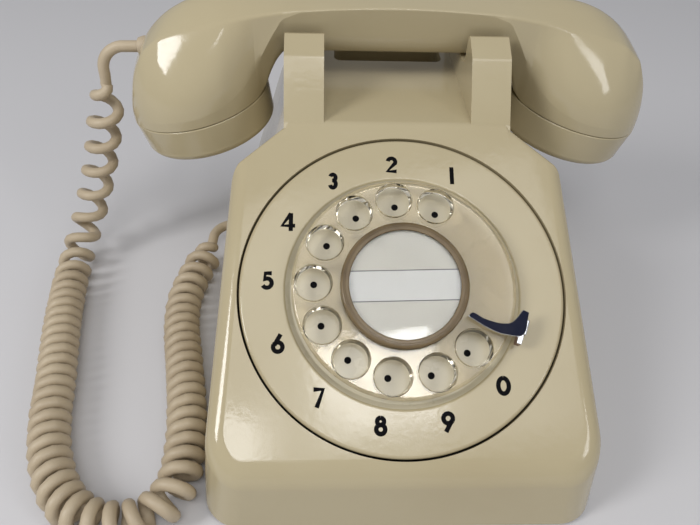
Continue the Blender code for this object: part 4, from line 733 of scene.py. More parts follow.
class Palette:
    """Every finish of the telephone, each built once."""

    def __init__(self) -> None:
        """Builds the materials."""
        self.ivory = Finish(
            "ivory_plastic",
            colour=(0.455, 0.388, 0.246),
            shade=(0.410, 0.340, 0.205),
            roughness=(0.07, 0.16),
            patch_scale=14.0,
            patch_cover=0.7,
            grain_scale=420.0,
            grain_depth=0.03 * MM,
            scratches=0.08,
        ).build()
        # Painted light: a lighter, less yellow copy of the ivory for the floor under the clear wheel, which
        # makes up for the shade that the wheel casts there
        self.painted_light_under_wheel = Finish(
            "ivory_painted_light_under_wheel",
            colour=(0.530, 0.480, 0.355),
            shade=(0.470, 0.415, 0.300),
            roughness=(0.22, 0.36),
            patch_scale=24.0,
            grain_scale=420.0,
            grain_depth=0.02 * MM,
        ).build()
        self.clear = ClearFinish(
            "clear_plastic",
            colour=(0.85, 0.79, 0.655),
            shade=(0.785, 0.705, 0.55),
            roughness=(0.02, 0.09),
            patch_scale=60.0,
            grain_scale=180.0,
            grain_depth=0.05 * MM,
            scratches=0.08,
        ).build()
        self.window = ClearFinish(
            "clear_window",
            colour=(0.99, 0.985, 0.97),
            shade=(0.96, 0.95, 0.92),
            roughness=(0.02, 0.06),
            grain_scale=120.0,
            grain_depth=0.02 * MM,
        ).build()
        self.card = Finish(
            "card_paper",
            colour=(0.57, 0.55, 0.48),
            shade=(0.50, 0.48, 0.41),
            roughness=(0.55, 0.75),
            patch_scale=120.0,
            grain_scale=2400.0,
            grain_depth=0.03 * MM,
        ).build()
        self.strip = Finish(
            "card_white",
            colour=(0.66, 0.66, 0.64),
            shade=(0.60, 0.60, 0.57),
            roughness=(0.5, 0.7),
            patch_scale=150.0,
            grain_scale=2400.0,
            grain_depth=0.03 * MM,
        ).build()
        self.ink = Finish(
            "printed_ink",
            colour=(0.003, 0.003, 0.004),
            shade=(0.006, 0.005, 0.005),
            roughness=(0.45, 0.65),
            specular=0.05,
            grain_scale=1500.0,
        ).build()
        self.bezel = Finish(
            "bezel_plastic",
            colour=(0.170, 0.120, 0.062),
            shade=(0.090, 0.060, 0.030),
            roughness=(0.10, 0.24),
            specular=0.25,
            patch_scale=110.0,
            grain_scale=700.0,
            grain_depth=0.03 * MM,
        ).build()
        # Painted reflection: a near-black blue metal for the top of the finger stop, standing for the dark
        # room that its chrome mirrors
        self.chrome_painted_dark_reflection = Finish(
            "chrome_top_painted_dark_reflection",
            colour=(0.007, 0.008, 0.015),
            shade=(0.014, 0.014, 0.020),
            roughness=(0.06, 0.14),
            patch_scale=200.0,
            grain_scale=500.0,
            grain_depth=0.01 * MM,
            metallic=1.0,
        ).build()
        self.rust = Finish(
            "browned_steel",
            colour=(0.210, 0.120, 0.075),
            shade=(0.330, 0.230, 0.160),
            roughness=(0.35, 0.60),
            patch_scale=420.0,
            grain_scale=1600.0,
            grain_depth=0.04 * MM,
            metallic=0.6,
        ).build()
        self.chrome = Finish(
            "polished_chrome",
            colour=(0.80, 0.81, 0.83),
            shade=(0.70, 0.71, 0.74),
            roughness=(0.05, 0.12),
            grain_scale=500.0,
            grain_depth=0.01 * MM,
            metallic=1.0,
        ).build()
        self.steel = Finish(
            "zinc_plated_steel",
            colour=(0.56, 0.57, 0.56),
            shade=(0.44, 0.45, 0.42),
            roughness=(0.28, 0.46),
            patch_scale=90.0,
            grain_scale=1300.0,
            metallic=1.0,
            scratches=0.12,
        ).build()
        self.brass = Finish(
            "turned_brass",
            colour=(0.68, 0.50, 0.22),
            shade=(0.50, 0.34, 0.13),
            roughness=(0.2, 0.4),
            patch_scale=80.0,
            grain_scale=1500.0,
            metallic=1.0,
        ).build()
        self.rubber = Finish(
            "black_rubber",
            colour=(0.022, 0.021, 0.020),
            shade=(0.05, 0.048, 0.044),
            roughness=(0.6, 0.85),
            patch_scale=160.0,
            grain_scale=2600.0,
            grain_depth=0.06 * MM,
        ).build()
        self.black = Finish(
            "black_plastic",
            colour=(0.018, 0.018, 0.019),
            shade=(0.035, 0.034, 0.033),
            roughness=(0.3, 0.5),
            patch_scale=120.0,
            grain_scale=1100.0,
        ).build()
        self.winding = Finish(
            "coil_winding",
            colour=(0.42, 0.15, 0.06),
            shade=(0.26, 0.09, 0.035),
            roughness=(0.35, 0.55),
            patch_scale=200.0,
            grain_scale=3000.0,
            grain_depth=0.08 * MM,
        ).build()
        self.cord = Finish(
            "cord_jacket",
            colour=(0.465, 0.380, 0.262),
            shade=(0.385, 0.305, 0.205),
            roughness=(0.42, 0.60),
            patch_scale=55.0,
            patch_cover=0.8,
            grain_scale=1600.0,
            grain_depth=0.05 * MM,
        ).build()


def dressed(item: Object, material: Material) -> Object:
    """Gives an object one material.

    Args:
        item: The object.
        material: Its finish.

    Returns:
        The same object.
    """
    item.data.materials.clear()
    item.data.materials.append(material)
    return item


def painted(item: Object, material: Material, test: Callable[[BMFace], bool]) -> Object:
    """Gives the faces that pass a test a second material.

    Args:
        item: The object, which has a material already.
        material: The second finish.
        test: Says for one face whether it gets this finish.

    Returns:
        The same object.
    """
    item.data.materials.append(material)
    item.active_material_index = len(item.data.materials) - 1
    with editing(item):
        bpy.context.tool_settings.mesh_select_mode = (False, False, True)
        bpy.ops.mesh.select_all(action="DESELECT")
        shape = bmesh.from_edit_mesh(item.data)
        for face in [face for face in shape.faces if test(face)]:
            face.select_set(True)
        bmesh.update_edit_mesh(item.data)
        bpy.ops.object.material_slot_assign()
    return item


def stand_in(item: Object, body: str, slot: str, *nodes: str) -> None:
    """Makes a finished piece ride on its body in place of solids of the frame.

    Args:
        item: The finished piece.
        body: The body that carries it.
        slot: The record's material slot; not used.
        nodes: The solids that it stands for.
    """
    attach(item, body)
    if nodes:
        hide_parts(*nodes)
    LOG.info("%s rides on %s", item.name, body)


# Camera, floor and light


@dataclass
class Studio:
    """The camera of the photograph, a pale floor and soft light."""

    focal_pixels: float = 640.0
    picture_width: int = 700
    sensor: float = 36.0
    place: Point3 = (-27.0 * MM, -201.4 * MM, 216.7 * MM)
    down_angle: float = math.radians(42.85)
    yaw: float = math.radians(3.17)
    roll: float = math.radians(-2.41)
    # What the lamps face
    aim: Point3 = (0, 0, 0.05)
    # The room's strength as a light, and as the background that is seen
    room_strength: Point2 = (0.33, 0.58)

    def camera(self) -> None:
        """Puts the camera where the photograph was taken from."""
        ahead = Vector(
            (
                math.sin(self.yaw) * math.cos(self.down_angle),
                math.cos(self.yaw) * math.cos(self.down_angle),
                -math.sin(self.down_angle),
            )
        )
        right = ahead.cross(Vector((0, 0, 1))).normalized()
        down = ahead.cross(right)
        across = math.cos(self.roll) * right + math.sin(self.roll) * down
        drop = math.cos(self.roll) * down - math.sin(self.roll) * right
        turn = Matrix((across, -drop, -ahead)).transposed().to_4x4()
        deselect_all()
        bpy.ops.object.camera_add()
        camera = bpy.context.object
        camera.name = "camera"
        camera.matrix_world = Matrix.Translation(self.place) @ turn
        camera.data.sensor_width = self.sensor
        camera.data.lens = self.focal_pixels * self.sensor / self.picture_width
        camera.data.clip_start = 0.01
        bpy.context.scene.camera = camera

    def floor(self) -> None:
        """A pale floor that keeps the object's shadow."""
        deselect_all()
        bpy.ops.mesh.primitive_plane_add(size=6.0, location=(0, 0, 0))
        floor = named("floor")
        material = bpy.data.materials.new("pale_floor")
        material.use_nodes = True
        shader = material.node_tree.nodes["Principled BSDF"]
        shader.inputs["Base Color"].default_value = (0.60, 0.59, 0.60, 1)
        shader.inputs["Roughness"].default_value = 0.5
        dressed(floor, material)

    def lamp(self, name: str, place: Point3, size: Point2, power: float) -> None:
        """One soft rectangular lamp aimed at the object.

        Args:
            name: The lamp's name.
            place: Where it stands.
            size: Its width and height.
            power: Its power in watts.
        """
        deselect_all()
        bpy.ops.object.light_add(type="AREA")
        lamp = bpy.context.object
        lamp.name = name
        lamp.data.shape = "RECTANGLE"
        lamp.data.size, lamp.data.size_y = size
        lamp.data.energy = power
        way = Vector(self.aim) - Vector(place)
        lamp.matrix_world = Matrix.Translation(place) @ way.to_track_quat("-Z", "Y").to_matrix().to_4x4()

    def light(self) -> None:
        """A plain world, three soft lamps and two small ones for the gleams on face and card."""
        world = bpy.data.worlds.new("pale_room")
        bpy.context.scene.world = world
        world.use_nodes = True
        nodes, links = world.node_tree.nodes, world.node_tree.links
        background = nodes["Background"]
        background.inputs["Color"].default_value = (0.94, 0.96, 1.0, 1)
        path = nodes.new("ShaderNodeLightPath")
        seen = nodes.new("ShaderNodeMath")
        seen.operation = "MAXIMUM"
        links.new(path.outputs["Is Camera Ray"], seen.inputs[0])
        links.new(path.outputs["Is Transmission Ray"], seen.inputs[1])
        strength = mapped(world.node_tree, seen.outputs["Value"], (0.0, 1.0), self.room_strength)
        links.new(strength, background.inputs["Strength"])
        self.lamp("window_lamp", (-0.80, -0.40, 0.72), (0.26, 0.48), 5.5)
        self.lamp("ceiling_lamp", (0.10, -0.55, 1.35), (1.0, 0.7), 4.5)
        self.lamp("side_lamp", (0.70, -0.60, 0.60), (0.16, 0.50), 1.5)
        self.lamp("gleam_lamp", (0.09, -0.61, 1.12), (0.26, 0.20), 1.3)
        self.lamp("pane_lamp", (-0.20, -0.66, 0.87), (0.12, 0.20), 0.5)

    def build(self) -> None:
        """Sets the whole stage."""
        bpy.context.scene.view_settings.view_transform = "Standard"
        self.camera()
        self.floor()
        self.light()


# Places that several pieces share

HANDSET_Y = 48.0 * MM
# Where the curly cord leaves the handset and where it enters the housing
LEAD_HEIGHT = 103.0 * MM
INLET_Y = 48.0 * MM
INLET_Z = 11.0 * MM
CORD_DIAMETER = 4.6 * MM
# One front and one back screw, the others opposite
SCREW_SPOTS = ((48.0 * MM, -85.0 * MM), (30.0 * MM, 92.0 * MM))
DIAL_TILT = math.radians(31.5)
DIAL_CENTRE = Vector((0, -47.4 * MM, 61.3 * MM))
DIAL_NORMAL = Vector((0, -math.sin(DIAL_TILT), math.cos(DIAL_TILT)))
DIAL_FRAME = Matrix.Translation(DIAL_CENTRE) @ Matrix.Rotation(DIAL_TILT, 4, "X")
UP = Vector((0, 0, 1))


def dial_height(y: float) -> float:
    """Height of the dial's plane at a place along Y."""
    return DIAL_CENTRE.z + (y - DIAL_CENTRE.y) * math.tan(DIAL_TILT)


def turn_of(edge: BMEdge) -> float:
    """Angle in degrees by which the two faces of an edge turn."""
    return math.degrees(edge.calc_face_angle(0.0))


def borders(edge: BMEdge, direction: Vector, least: float = 0.99) -> bool:
    """Whether a face of the edge looks in the given direction."""
    return any(face.normal.dot(direction) > least for face in edge.link_faces)


# Housing


@dataclass
class Housing:
    """The moulded housing: dial face, shoulders, cradle deck with four ears, hollow underneath."""

    palette: Palette
    half_width: float = 68.7 * MM
    half_depth: float = 103.0 * MM
    underside: float = 2.0 * MM
    deck: float = 94.2 * MM
    wall: float = 2.8 * MM
    draft: float = math.radians(5.7)
    corner: float = 14.0 * MM
    rounding: float = 6.0 * MM
    cradle_half_width: float = 40.7 * MM
    cradle_slope: float = math.radians(17.7)
    shoulder_reach: float = 30.0 * MM
    shoulder_turn: float = math.radians(52.8)
    back_slope: float = math.radians(63)
    back_edge: float = 84.0 * MM
    front_join: float = 22.0 * MM
    back_start: float = -20.0 * MM
    ear_inner: float = 27.3 * MM
    ear_width: float = 14.7 * MM
    ear_rounding: float = 1.1 * MM
    ear_bend: Point2 = (20.9 * MM, 112.7 * MM)
    front_foot: float = 6.3 * MM
    handle_half_width: float = 14.8 * MM
    handle_underside: float = 105.0 * MM
    opening_radius: float = 56.65 * MM
    plunger: Point2 = (8.0 * MM, 6.0 * MM)
    pocket_half_width: float = 23.0 * MM
    pocket_front: float = 57.0 * MM
    pocket_back: float = 73.0 * MM
    pocket_floor: float = 76.0 * MM
    inlet_radius: float = 4.3 * MM
    line_inlet_x: float = -20.0 * MM
    boss_radius: float = 4.5 * MM
    screw_radius: float = 2.1 * MM
    screw_depth: float = 8.3 * MM
    seat: float = 5.8 * MM

    def tall_block(self, name: str, inset: float, toward: int) -> Object:
        """A block with the drafted sides, front and back, two of its upright corners rounded.

        Args:
            name: The form's name.
            inset: How far inside the outer surface it lies.
            toward: -1 rounds the front corners, 1 the back ones.

        Returns:
            The new form.
        """
        floor = self.underside - (5 * MM if inset else 0)
        size = 0.5
        deselect_all()
        bpy.ops.mesh.primitive_cube_add(size=size, location=(0, 0, size / 2 + floor))
        item = settled(named(name))
        lean, rise = math.cos(self.draft), math.sin(self.draft)
        for side in (-1, 1):
            sliced(item, (side * (self.half_width - inset / lean), 0, 0), (side * lean, 0, rise))
            sliced(item, (0, side * (self.half_depth - inset / lean), 0), (0, side * lean, rise))
        sliced(item, (0, 0, self.deck - inset), UP)
        width = self.corner - inset

        def upright(edge: BMEdge) -> float:
            """Picks the upright edges on the wanted side."""
            near, far = (vert.co for vert in edge.verts)
            return float(abs((near - far).z) > 20 * MM and near.y * toward > 0)

        return eased(item, width, 4 if inset else 12, upright)

    def rounded_form(
        self, item: Object, inset: float, joint: Vector, crisp: Sequence[Vector]
    ) -> Object:
        """Rounds the upper edges of a form, less where it is crisp.

        Args:
            item: The form.
            inset: How far inside the outer surface it lies.
            joint: The direction of the face where it joins the other form.
            crisp: Directions of faces whose edges are rounded half as much.

        Returns:
            The same form.
        """

        def weight(edge: BMEdge) -> float:
            """The share of the rounding for one edge.

            Args:
                edge: The edge.

            Returns:
                A share from 0 to 1.
            """
            if turn_of(edge) < 24 or borders(edge, -UP, 0.9) or borders(edge, joint, 0.95):
                return 0.0
            if borders(edge, UP) and borders(edge, DIAL_NORMAL):
                return 0.9
            if abs((edge.verts[0].co - edge.verts[1].co).normalized().z) > 0.9:
                return 0.3
            return 0.5 if any(borders(edge, face) for face in crisp) else 1.0

        return eased(item, self.rounding - inset * 0.6, 1 if inset else 6, weight)

    def front(self, name: str, inset: float) -> Object:
        """The front form: dial face, front of the deck and shoulders.

        Args:
            name: The form's name.
            inset: How far inside the outer surface it lies.

        Returns:
            The new form.
        """
        item = self.tall_block(name, inset, -1)
        sliced(item, DIAL_CENTRE - inset * DIAL_NORMAL, DIAL_NORMAL)
        crisp = []
        for side in (-1, 1):
            square = Vector((side * math.cos(self.shoulder_turn), math.sin(self.shoulder_turn), 0))
            sliced(item, square * (self.shoulder_reach - inset), square)
            crisp.append(square)
        sliced(item, (0, self.front_join, 0), (0, 1, 0))
        return self.rounded_form(item, inset, Vector((0, 1, 0)), crisp)

    def back(self, name: str, inset: float) -> Object:
        """The back form: the cradle deck between its sloping sides and the sloping back.

        Args:
            name: The form's name.
            inset: How far inside the outer surface it lies.

        Returns:
            The new form.
        """
        item = self.tall_block(name, inset, 1)
        lean, rise = math.cos(self.cradle_slope), math.sin(self.cradle_slope)
        sides = []
        for side in (-1, 1):
            square = Vector((side * lean, 0, rise))
            edge = Vector((side * self.cradle_half_width, 0, self.deck))
            sliced(item, edge - inset * square, square)
            sides.append(square)
        square = Vector((0, math.sin(self.back_slope), math.cos(self.back_slope)))
        sliced(item, Vector((0, self.back_edge, self.deck)) - inset * square, square)
        sliced(item, DIAL_CENTRE - inset * DIAL_NORMAL, DIAL_NORMAL)
        sliced(item, (0, self.back_start, 0), (0, -1, 0))
        return self.rounded_form(item, inset, Vector((0, -1, 0)), sides)

    def ears(self, side: int) -> Object:
        """One saddle with its front and back ear.

        Args:
            side: -1 for the left pair, 1 for the right pair.

        Returns:
            The new form.
        """
        gap, hollow = 0.4 * MM, 4.2 * MM
        front = HANDSET_Y - self.handle_half_width - gap
        back = HANDSET_Y + self.handle_half_width + gap
        floor = self.handle_underside - CLEARANCE
        root = self.deck - 7 * MM
        foot = self.front_foot
        rest = arc((front + hollow, floor + hollow), hollow, 180, 270, 5)
        rest += arc((back - hollow, floor + hollow), hollow, 270, 360, 5)
        bend_y, bend_z = self.ear_bend
        front_ear = [
            (foot - 4.8 * MM, self.deck - 6.2 * MM),
            (foot - 1.5 * MM, self.deck - 1.45 * MM),
            (foot - 0.85 * MM, self.deck - 0.78 * MM),
            (foot - 0.25 * MM, self.deck - 0.25 * MM),
            (foot + 0.7 * MM, self.deck + 0.95 * MM),
            (bend_y - 0.45 * MM, bend_z - 0.56 * MM),
            (bend_y, bend_z - 0.08 * MM),
            (bend_y + 0.5 * MM, bend_z + 0.3 * MM),
            (front - 3.9 * MM, floor + 11.9 * MM),
            (front - 2.6 * MM, floor + 12.4 * MM),
            (front - 1.1 * MM, floor + 12.1 * MM),
            (front - 0.3 * MM, floor + 11.2 * MM),
            (front, floor + 9.9 * MM),
            (front, floor + 5.0 * MM),
        ]
        back_ear = [
            (back, floor + 5.0 * MM),
            (back + 0.1 * MM, floor + 8.2 * MM),
            (back + 1.0 * MM, floor + 10.2 * MM),
            (back + 2.9 * MM, floor + 10.8 * MM),
            (back + 5.4 * MM, floor + 9.6 * MM),
            (back + 7.4 * MM, floor + 7.0 * MM),
            (back + 11.2 * MM, floor - 3.0 * MM),
            (back + 14.0 * MM, floor - 12.0 * MM),
            (back + 15.0 * MM, self.deck - 2 * MM),
        ]
        outline = [(foot - 4.8 * MM, root), *front_ear]
        for curve in (rest, back_ear):
            outline += [(y, z) for y, z, _ in smooth_route([(y, z, 0.0) for y, z in curve], 0.7 * MM)]
        outline.append((back + 15.0 * MM, root))
        low = min(side * self.ear_inner, side * (self.ear_inner + self.ear_width))
        item = cut_out(f"ears_{side}", [(low, y, z) for y, z in outline], (self.ear_width, 0, 0))
        return rounded(item, self.ear_rounding, 5, 50)

    def openings(self, item: Object) -> None:
        """Cuts the dial opening, the plunger holes and the two cord inlets.

        Args:
            item: The housing.
        """
        reach = 12 * MM * DIAL_NORMAL
        dial = rod("dial_opening", DIAL_CENTRE - reach, DIAL_CENTRE + reach, self.opening_radius, 160)
        combined(item, dial, solver=Solver.MANIFOLD)
        plunger_x = self.ear_inner + self.ear_width / 2
        half_x, half_y = self.plunger[0] / 2 + CLEARANCE, self.plunger[1] / 2 + CLEARANCE
        for side in (-1, 1):
            x = side * plunger_x
            low = (x - half_x, HANDSET_Y - half_y, self.deck - 12 * MM)
            high = (x + half_x, HANDSET_Y + half_y, self.handle_underside + 5 * MM)
            combined(item, block("plunger_hole", low, high), solver=Solver.MANIFOLD)
        start = (-self.half_width - 5 * MM, INLET_Y, INLET_Z)
        end = (-self.half_width + 12 * MM, INLET_Y, INLET_Z)
        combined(item, rod("cord_notch", start, end, self.inlet_radius), solver=Solver.MANIFOLD)
        start = (self.line_inlet_x, self.half_depth - 12 * MM, INLET_Z)
        end = (self.line_inlet_x, self.half_depth + 5 * MM, INLET_Z)
        combined(item, rod("line_notch", start, end, self.inlet_radius), solver=Solver.MANIFOLD)

    def pocket(self, item: Object) -> None:
        """Adds the pocket behind the dial for the hand that lifts the telephone.

        Args:
            item: The housing.
        """
        half, wall = self.pocket_half_width, self.wall
        tub = block(
            "pocket_tub",
            (-half - wall, self.pocket_front - wall, self.pocket_floor - wall),
            (half + wall, self.pocket_back + wall, self.deck - 0.5 * MM),
        )
        combined(item, tub, Operation.ADD, Solver.MANIFOLD)
        hollow = block(
            "pocket_hollow",
            (-half, self.pocket_front, self.pocket_floor),
            (half, self.pocket_back, self.deck + 5 * MM),
        )
        combined(item, rounded(hollow, 3 * MM, 6), solver=Solver.MANIFOLD)

    def bossed(self, item: Object) -> None:
        """Adds the four screw bosses inside.

        Args:
            item: The housing.
        """
        slope = math.tan(self.back_slope)
        for x, y in SCREW_SPOTS:
            back_top = self.deck - (y + self.boss_radius - self.back_edge) * slope
            top = dial_height(y - self.boss_radius) if y < 0 else back_top
            for side in (-1, 1):
                spot = (side * x, y)
                head = (*spot, top - self.wall * 0.6)
                boss = rod("boss", (*spot, self.seat), head, self.boss_radius, 24)
                combined(item, boss, Operation.ADD, Solver.MANIFOLD)
                start, end = (*spot, self.seat - 2 * MM), (*spot, self.seat + self.screw_depth)
                bore = rod("bore", start, end, self.screw_radius, 24)
                combined(item, bore, solver=Solver.MANIFOLD)

    def build(self) -> None:
        """Makes the whole housing."""
        item = self.front("housing_shell", 0)
        combined(item, self.back("back_form", 0), Operation.ADD, Solver.MANIFOLD)
        for side in (-1, 1):
            combined(item, self.ears(side), Operation.ADD, Solver.MANIFOLD)
        combined(item, self.front("front_hollow", self.wall), solver=Solver.MANIFOLD)
        combined(item, self.back("back_hollow", self.wall), solver=Solver.MANIFOLD)
        self.pocket(item)
        self.bossed(item)
        self.openings(item)
        with editing(item):
            bpy.ops.mesh.remove_doubles(threshold=2 * MERGE)
        smoothed(item, 30)
        stand_in(dressed(item, self.palette.ivory), "base", "ivory_shell", "housing")


# Handset


def eased_values(stations: np.ndarray, places: np.ndarray) -> np.ndarray:
    """Smooth values between stations that never overshoot them.

    Args:
        stations: One row for each station, its place first.
        places: Where the values are wanted, in rising order.

    Returns:
        One row for each place, without the place.
    """
    x, y = stations[:, 0], stations[:, 1:]
    step = np.diff(x)[:, None]
    rise = np.diff(y, axis=0) / step
    slope = np.zeros_like(y)
    with np.errstate(divide="ignore", invalid="ignore"):
        before = (2 * step[1:] + step[:-1]) / rise[:-1]
        after = (step[1:] + 2 * step[:-1]) / rise[1:]
        mean = (step[1:] + step[:-1]) * 3 / (before + after)
    slope[1:-1] = np.where(rise[:-1] * rise[1:] > 0, mean, 0.0)
    slope[0], slope[-1] = rise[0] * 0, rise[-1]
    index = np.clip(np.searchsorted(x, places, side="right") - 1, 0, len(x) - 2)
    h = step[index]
    t = ((places - x[index]) / h[:, 0])[:, None]
    near, far = y[index], y[index + 1]
    return (
        near * (1 + 2 * t) * (1 - t) ** 2
        + slope[index] * h * t * (1 - t) ** 2
        + far * t**2 * (3 - 2 * t)
        + slope[index + 1] * h * t**2 * (t - 1)
    )


def bend_between(start: np.ndarray, pull: np.ndarray, end: np.ndarray, share: float) -> np.ndarray:
    """A point of the curve that leaves start towards pull and comes from there to end."""
    return start * (1 - share) ** 2 + pull * 2 * share * (1 - share) + end * share**2


@dataclass
class Handset:
    """The handset's shell, its two screwed caps and the bushing of its cord."""

    palette: Palette
    head_tilt: float = math.radians(12.7)
    cap_depth: float = 15.1 * MM
    cap_face_radius: float = 28.4 * MM
    cap_wall: float = 2.0 * MM
    cup_radius: float = 24.9 * MM
    cup_depth: float = 7.5 * MM
    well_radius: float = 17.5 * MM
    well_depth: float = 17.0 * MM
    cap_skirt: float = 6.0 * MM
    bore_radius: float = 4.5 * MM
    bore_x: float = -91.0 * MM
    bushing_length: float = 10.7 * MM
    # From here on in millimetres: the middle of a seam, its radius, where a head begins and ends
    head_x: float = 79.5
    seam_height: float = 82.2
    seam_radius: float = 29.3
    head_start: float = 54.0
    head_end: float = 107.6
    # The handle's half width where it runs into the head, and the stretch over which it fades
    neck_half: float = 15.4
    neck_fade: Point2 = (66.0, 96.0)
    # The crest's distance from the middle, its rounding, and where it fades into the head's dome
    crest_half: float = 14.7
    crest_rounding: float = 1.1
    crest_end: Point2 = (96.0, 107.4)
    # Where the front face starts to swell and where it is full
    flare: Point2 = (47.0, 66.0)
    # Along the handset, widest half width and its height, top, underside half width, its height and
    # its rounding
    handle: tuple[tuple[float, ...], ...] = (
        (0.0, 14.8, 125.2, 127.5, 10.5, 105.0, 7.5),
        (36.0, 14.8, 123.6, 127.2, 10.5, 105.0, 7.5),
        (42.5, 14.9, 121.0, 127.0, 10.2, 105.0, 6.0),
        (45.5, 15.0, 117.0, 126.9, 10.0, 102.4, 4.5),
        (48.5, 15.2, 112.0, 126.8, 9.8, 97.2, 3.0),
        (51.3, 15.5, 107.0, 126.6, 9.6, 90.5, 1.5),
    )
    # Along the handset, top and how far the widest level lies over the seam
    heads: tuple[Point3, ...] = (
        (51.3, 126.6, 17.0),
        (54.0, 126.4, 15.0),
        (57.5, 126.2, 11.0),
        (62.0, 125.9, 8.0),
        (67.0, 125.3, 6.0),
        (72.5, 124.2, 5.0),
        (79.0, 122.2, 4.5),
        (85.6, 118.9, 4.5),
        (91.5, 114.7, 4.0),
        (96.6, 109.6, 4.0),
        (100.8, 103.2, 4.0),
        (104.0, 95.0, 3.6),
        (106.2, 86.6, 2.6),
        (107.1, 81.8, 1.8),
        (107.6, 78.6, 1.0),
    )
    # Along the handset, the height of the crest where the top meets the front
    crest: tuple[Point2, ...] = (
        (0.0, 125.9),
        (12.0, 125.6),
        (26.0, 124.9),
        (42.0, 123.7),
        (56.0, 121.3),
        (69.5, 118.4),
        (81.0, 115.6),
        (90.0, 112.6),
        (97.0, 107.0),
        (103.0, 96.0),
        (108.0, 77.5),
    )

    def head_frame(self, side: Side) -> Matrix:
        """The frame at the middle of a head's seam, with Z up into the head."""
        tilt = Matrix.Rotation(side.value * self.head_tilt, 4, "Y")
        return Matrix.Translation((side.value * self.head_x * MM, HANDSET_Y, self.seam_height * MM)) @ tilt

    def head_sections(self, places: np.ndarray) -> np.ndarray:
        """Sections of a head.

        Args:
            places: Distances along the handset in millimetres.

        Returns:
            Rows of place, half width, its height, top, seam half width, seam height and edge rounding.
        """
        top, rise = eased_values(np.array(self.heads), places).T
        along = (places - self.head_x) / math.cos(self.head_tilt)
        seam = np.sqrt(np.maximum(self.seam_radius**2 - along**2, 1.2**2))
        foot = self.seam_height - (places - self.head_x) * math.tan(self.head_tilt)
        fade_start, fade_end = self.neck_fade
        neck = self.neck_half**6 * np.clip((fade_end - places) / (fade_end - fade_start), 0, 1)
        half = (seam**6 + neck) ** (1 / 6) + 0.1
        edge = np.minimum(0.3, 0.2 * seam)
        return np.stack([places, half, foot + rise, top, seam, foot, edge], axis=1)

    def sections(self) -> np.ndarray:
        """All sections from the middle outwards, in millimetres.

        Returns:
            Rows as head_sections gives them.
        """
        round_start, bend_start = 100.0, 42.0
        turn = 1 - np.sin(np.linspace(0, math.pi / 2, 14))
        ends = self.head_end - 7.6 * turn
        places = np.r_[np.arange(self.head_start, round_start, 1.6), ends]
        heads = self.head_sections(places)
        handle = np.vstack([np.array(self.handle), heads[0], heads[2]])
        along = np.r_[np.arange(0.0, bend_start, 6.0), np.arange(bend_start, self.head_start, 0.9)]
        return np.vstack([np.c_[along, eased_values(handle, along)], heads])

    def upper_curve(self, x: float, half: float, waist: float, top: float) -> list[Point2]:
        """The section from its top to its widest level, with the crest where the front face begins.

        Args:
            x: Where along the handset the section lies.
            half: The widest half width.
            waist: The height where it is widest.
            top: The height of its top.

        Returns:
            Points of half width and height, the top first.
        """
        crest = float(np.interp(x, *zip(*self.crest)))
        corner = np.array((min(self.crest_half, half * 0.99), min(crest, top - 0.1)))
        lowest = np.array((half, waist))
        flare_start, flare_end = self.flare
        flare = float(np.clip((x - flare_start) / (flare_end - flare_start), 0, 1))
        pull = corner + (lowest - corner) * ((0.25 + 0.75 * flare), 0.55)
        drop = top - corner[1]
        across = np.linspace(0, corner[0], 40)
        domed = [np.array((y, top - drop * (y / corner[0]) ** 1.4)) for y in across]
        front = [bend_between(corner, pull, lowest, share) for share in np.linspace(0, 1, 40)]
        sharp = self.softened(np.array(domed + front[1:]), corner, self.crest_rounding)
        fullness = 2.25
        angles = np.radians(np.linspace(90, 0, len(sharp)))
        rise = (top - waist) * np.sin(angles) ** (2 / fullness)
        plain = np.stack([half * np.cos(angles) ** (2 / fullness), waist + rise], axis=1)
        plain[0, 0] = 0.0
        start, end = self.crest_end
        fade = float(np.clip((x - start) / (end - start), 0, 1))
        fade = fade**2 * (3 - 2 * fade)
        return [tuple(point) for point in sharp * (1 - fade) + plain * fade]

    def softened(self, line: np.ndarray, corner: np.ndarray, reach: float) -> np.ndarray:
        """A line thinned to 26 points, with a small rounding in place of its corner.

        Args:
            line: Points close together.
            corner: The corner, which is one of them.
            reach: How far the rounding reaches to each side.

        Returns:
            The new points, ends kept.
        """
        lengths = np.r_[0, np.cumsum(np.linalg.norm(np.diff(line, axis=0), axis=1))]
        middle = lengths[np.argmin(((line - corner) ** 2).sum(axis=1))]
        near = max(middle - reach, middle * 0.5)
        far = min(middle + reach, (middle + lengths[-1]) / 2)

        def at(where: np.ndarray | float) -> np.ndarray:
            """Points of the line at distances along it."""
            return np.stack([np.interp(where, lengths, line[:, k]) for k in range(2)], axis=-1)

        before = at(np.linspace(0, near, 9))
        after = at(lengths[-1] - (lengths[-1] - far) * np.cos(np.linspace(0, math.pi / 2, 13)))
        shares = np.linspace(0, 1, 6)[1:-1]
        between = [bend_between(at(near), corner, at(far), share) for share in shares]
        return np.vstack([before, between, after])

    def ring(self, section: np.ndarray, side: int) -> np.ndarray:
        """The closed outline of one section.

        Args:
            section: One row of the sections.
            side: Which way along X it lies.

        Returns:
            Points in metres, starting at the top.
        """
        x, half, waist, top, foot_half, foot, edge = section
        right = self.upper_curve(x, half, waist, top)
        side_foot = np.array((foot_half, foot))
        slant = np.array((half, waist)) - side_foot
        start = side_foot + slant * min(0.9, edge * 1.1 / np.linalg.norm(slant))
        bow = 1.15 if edge < 1 else 1.0
        for share in np.linspace(0, 1, 8)[1:-1]:
            y = half + (start[0] - half) * share**bow
            right.append((y, waist + (start[1] - waist) * share))
        inner = side_foot - (edge, 0.0)
        for share in np.linspace(0, 1, 6):
            right.append(tuple(bend_between(start, side_foot, inner, share)))
        right.append((inner[0] * 0.5, foot))
        points = [*right, (0.0, foot), *[(-y, z) for y, z in right[:0:-1]]]
        return np.array([(side * x * MM, HANDSET_Y + y * MM, z * MM) for y, z in points])

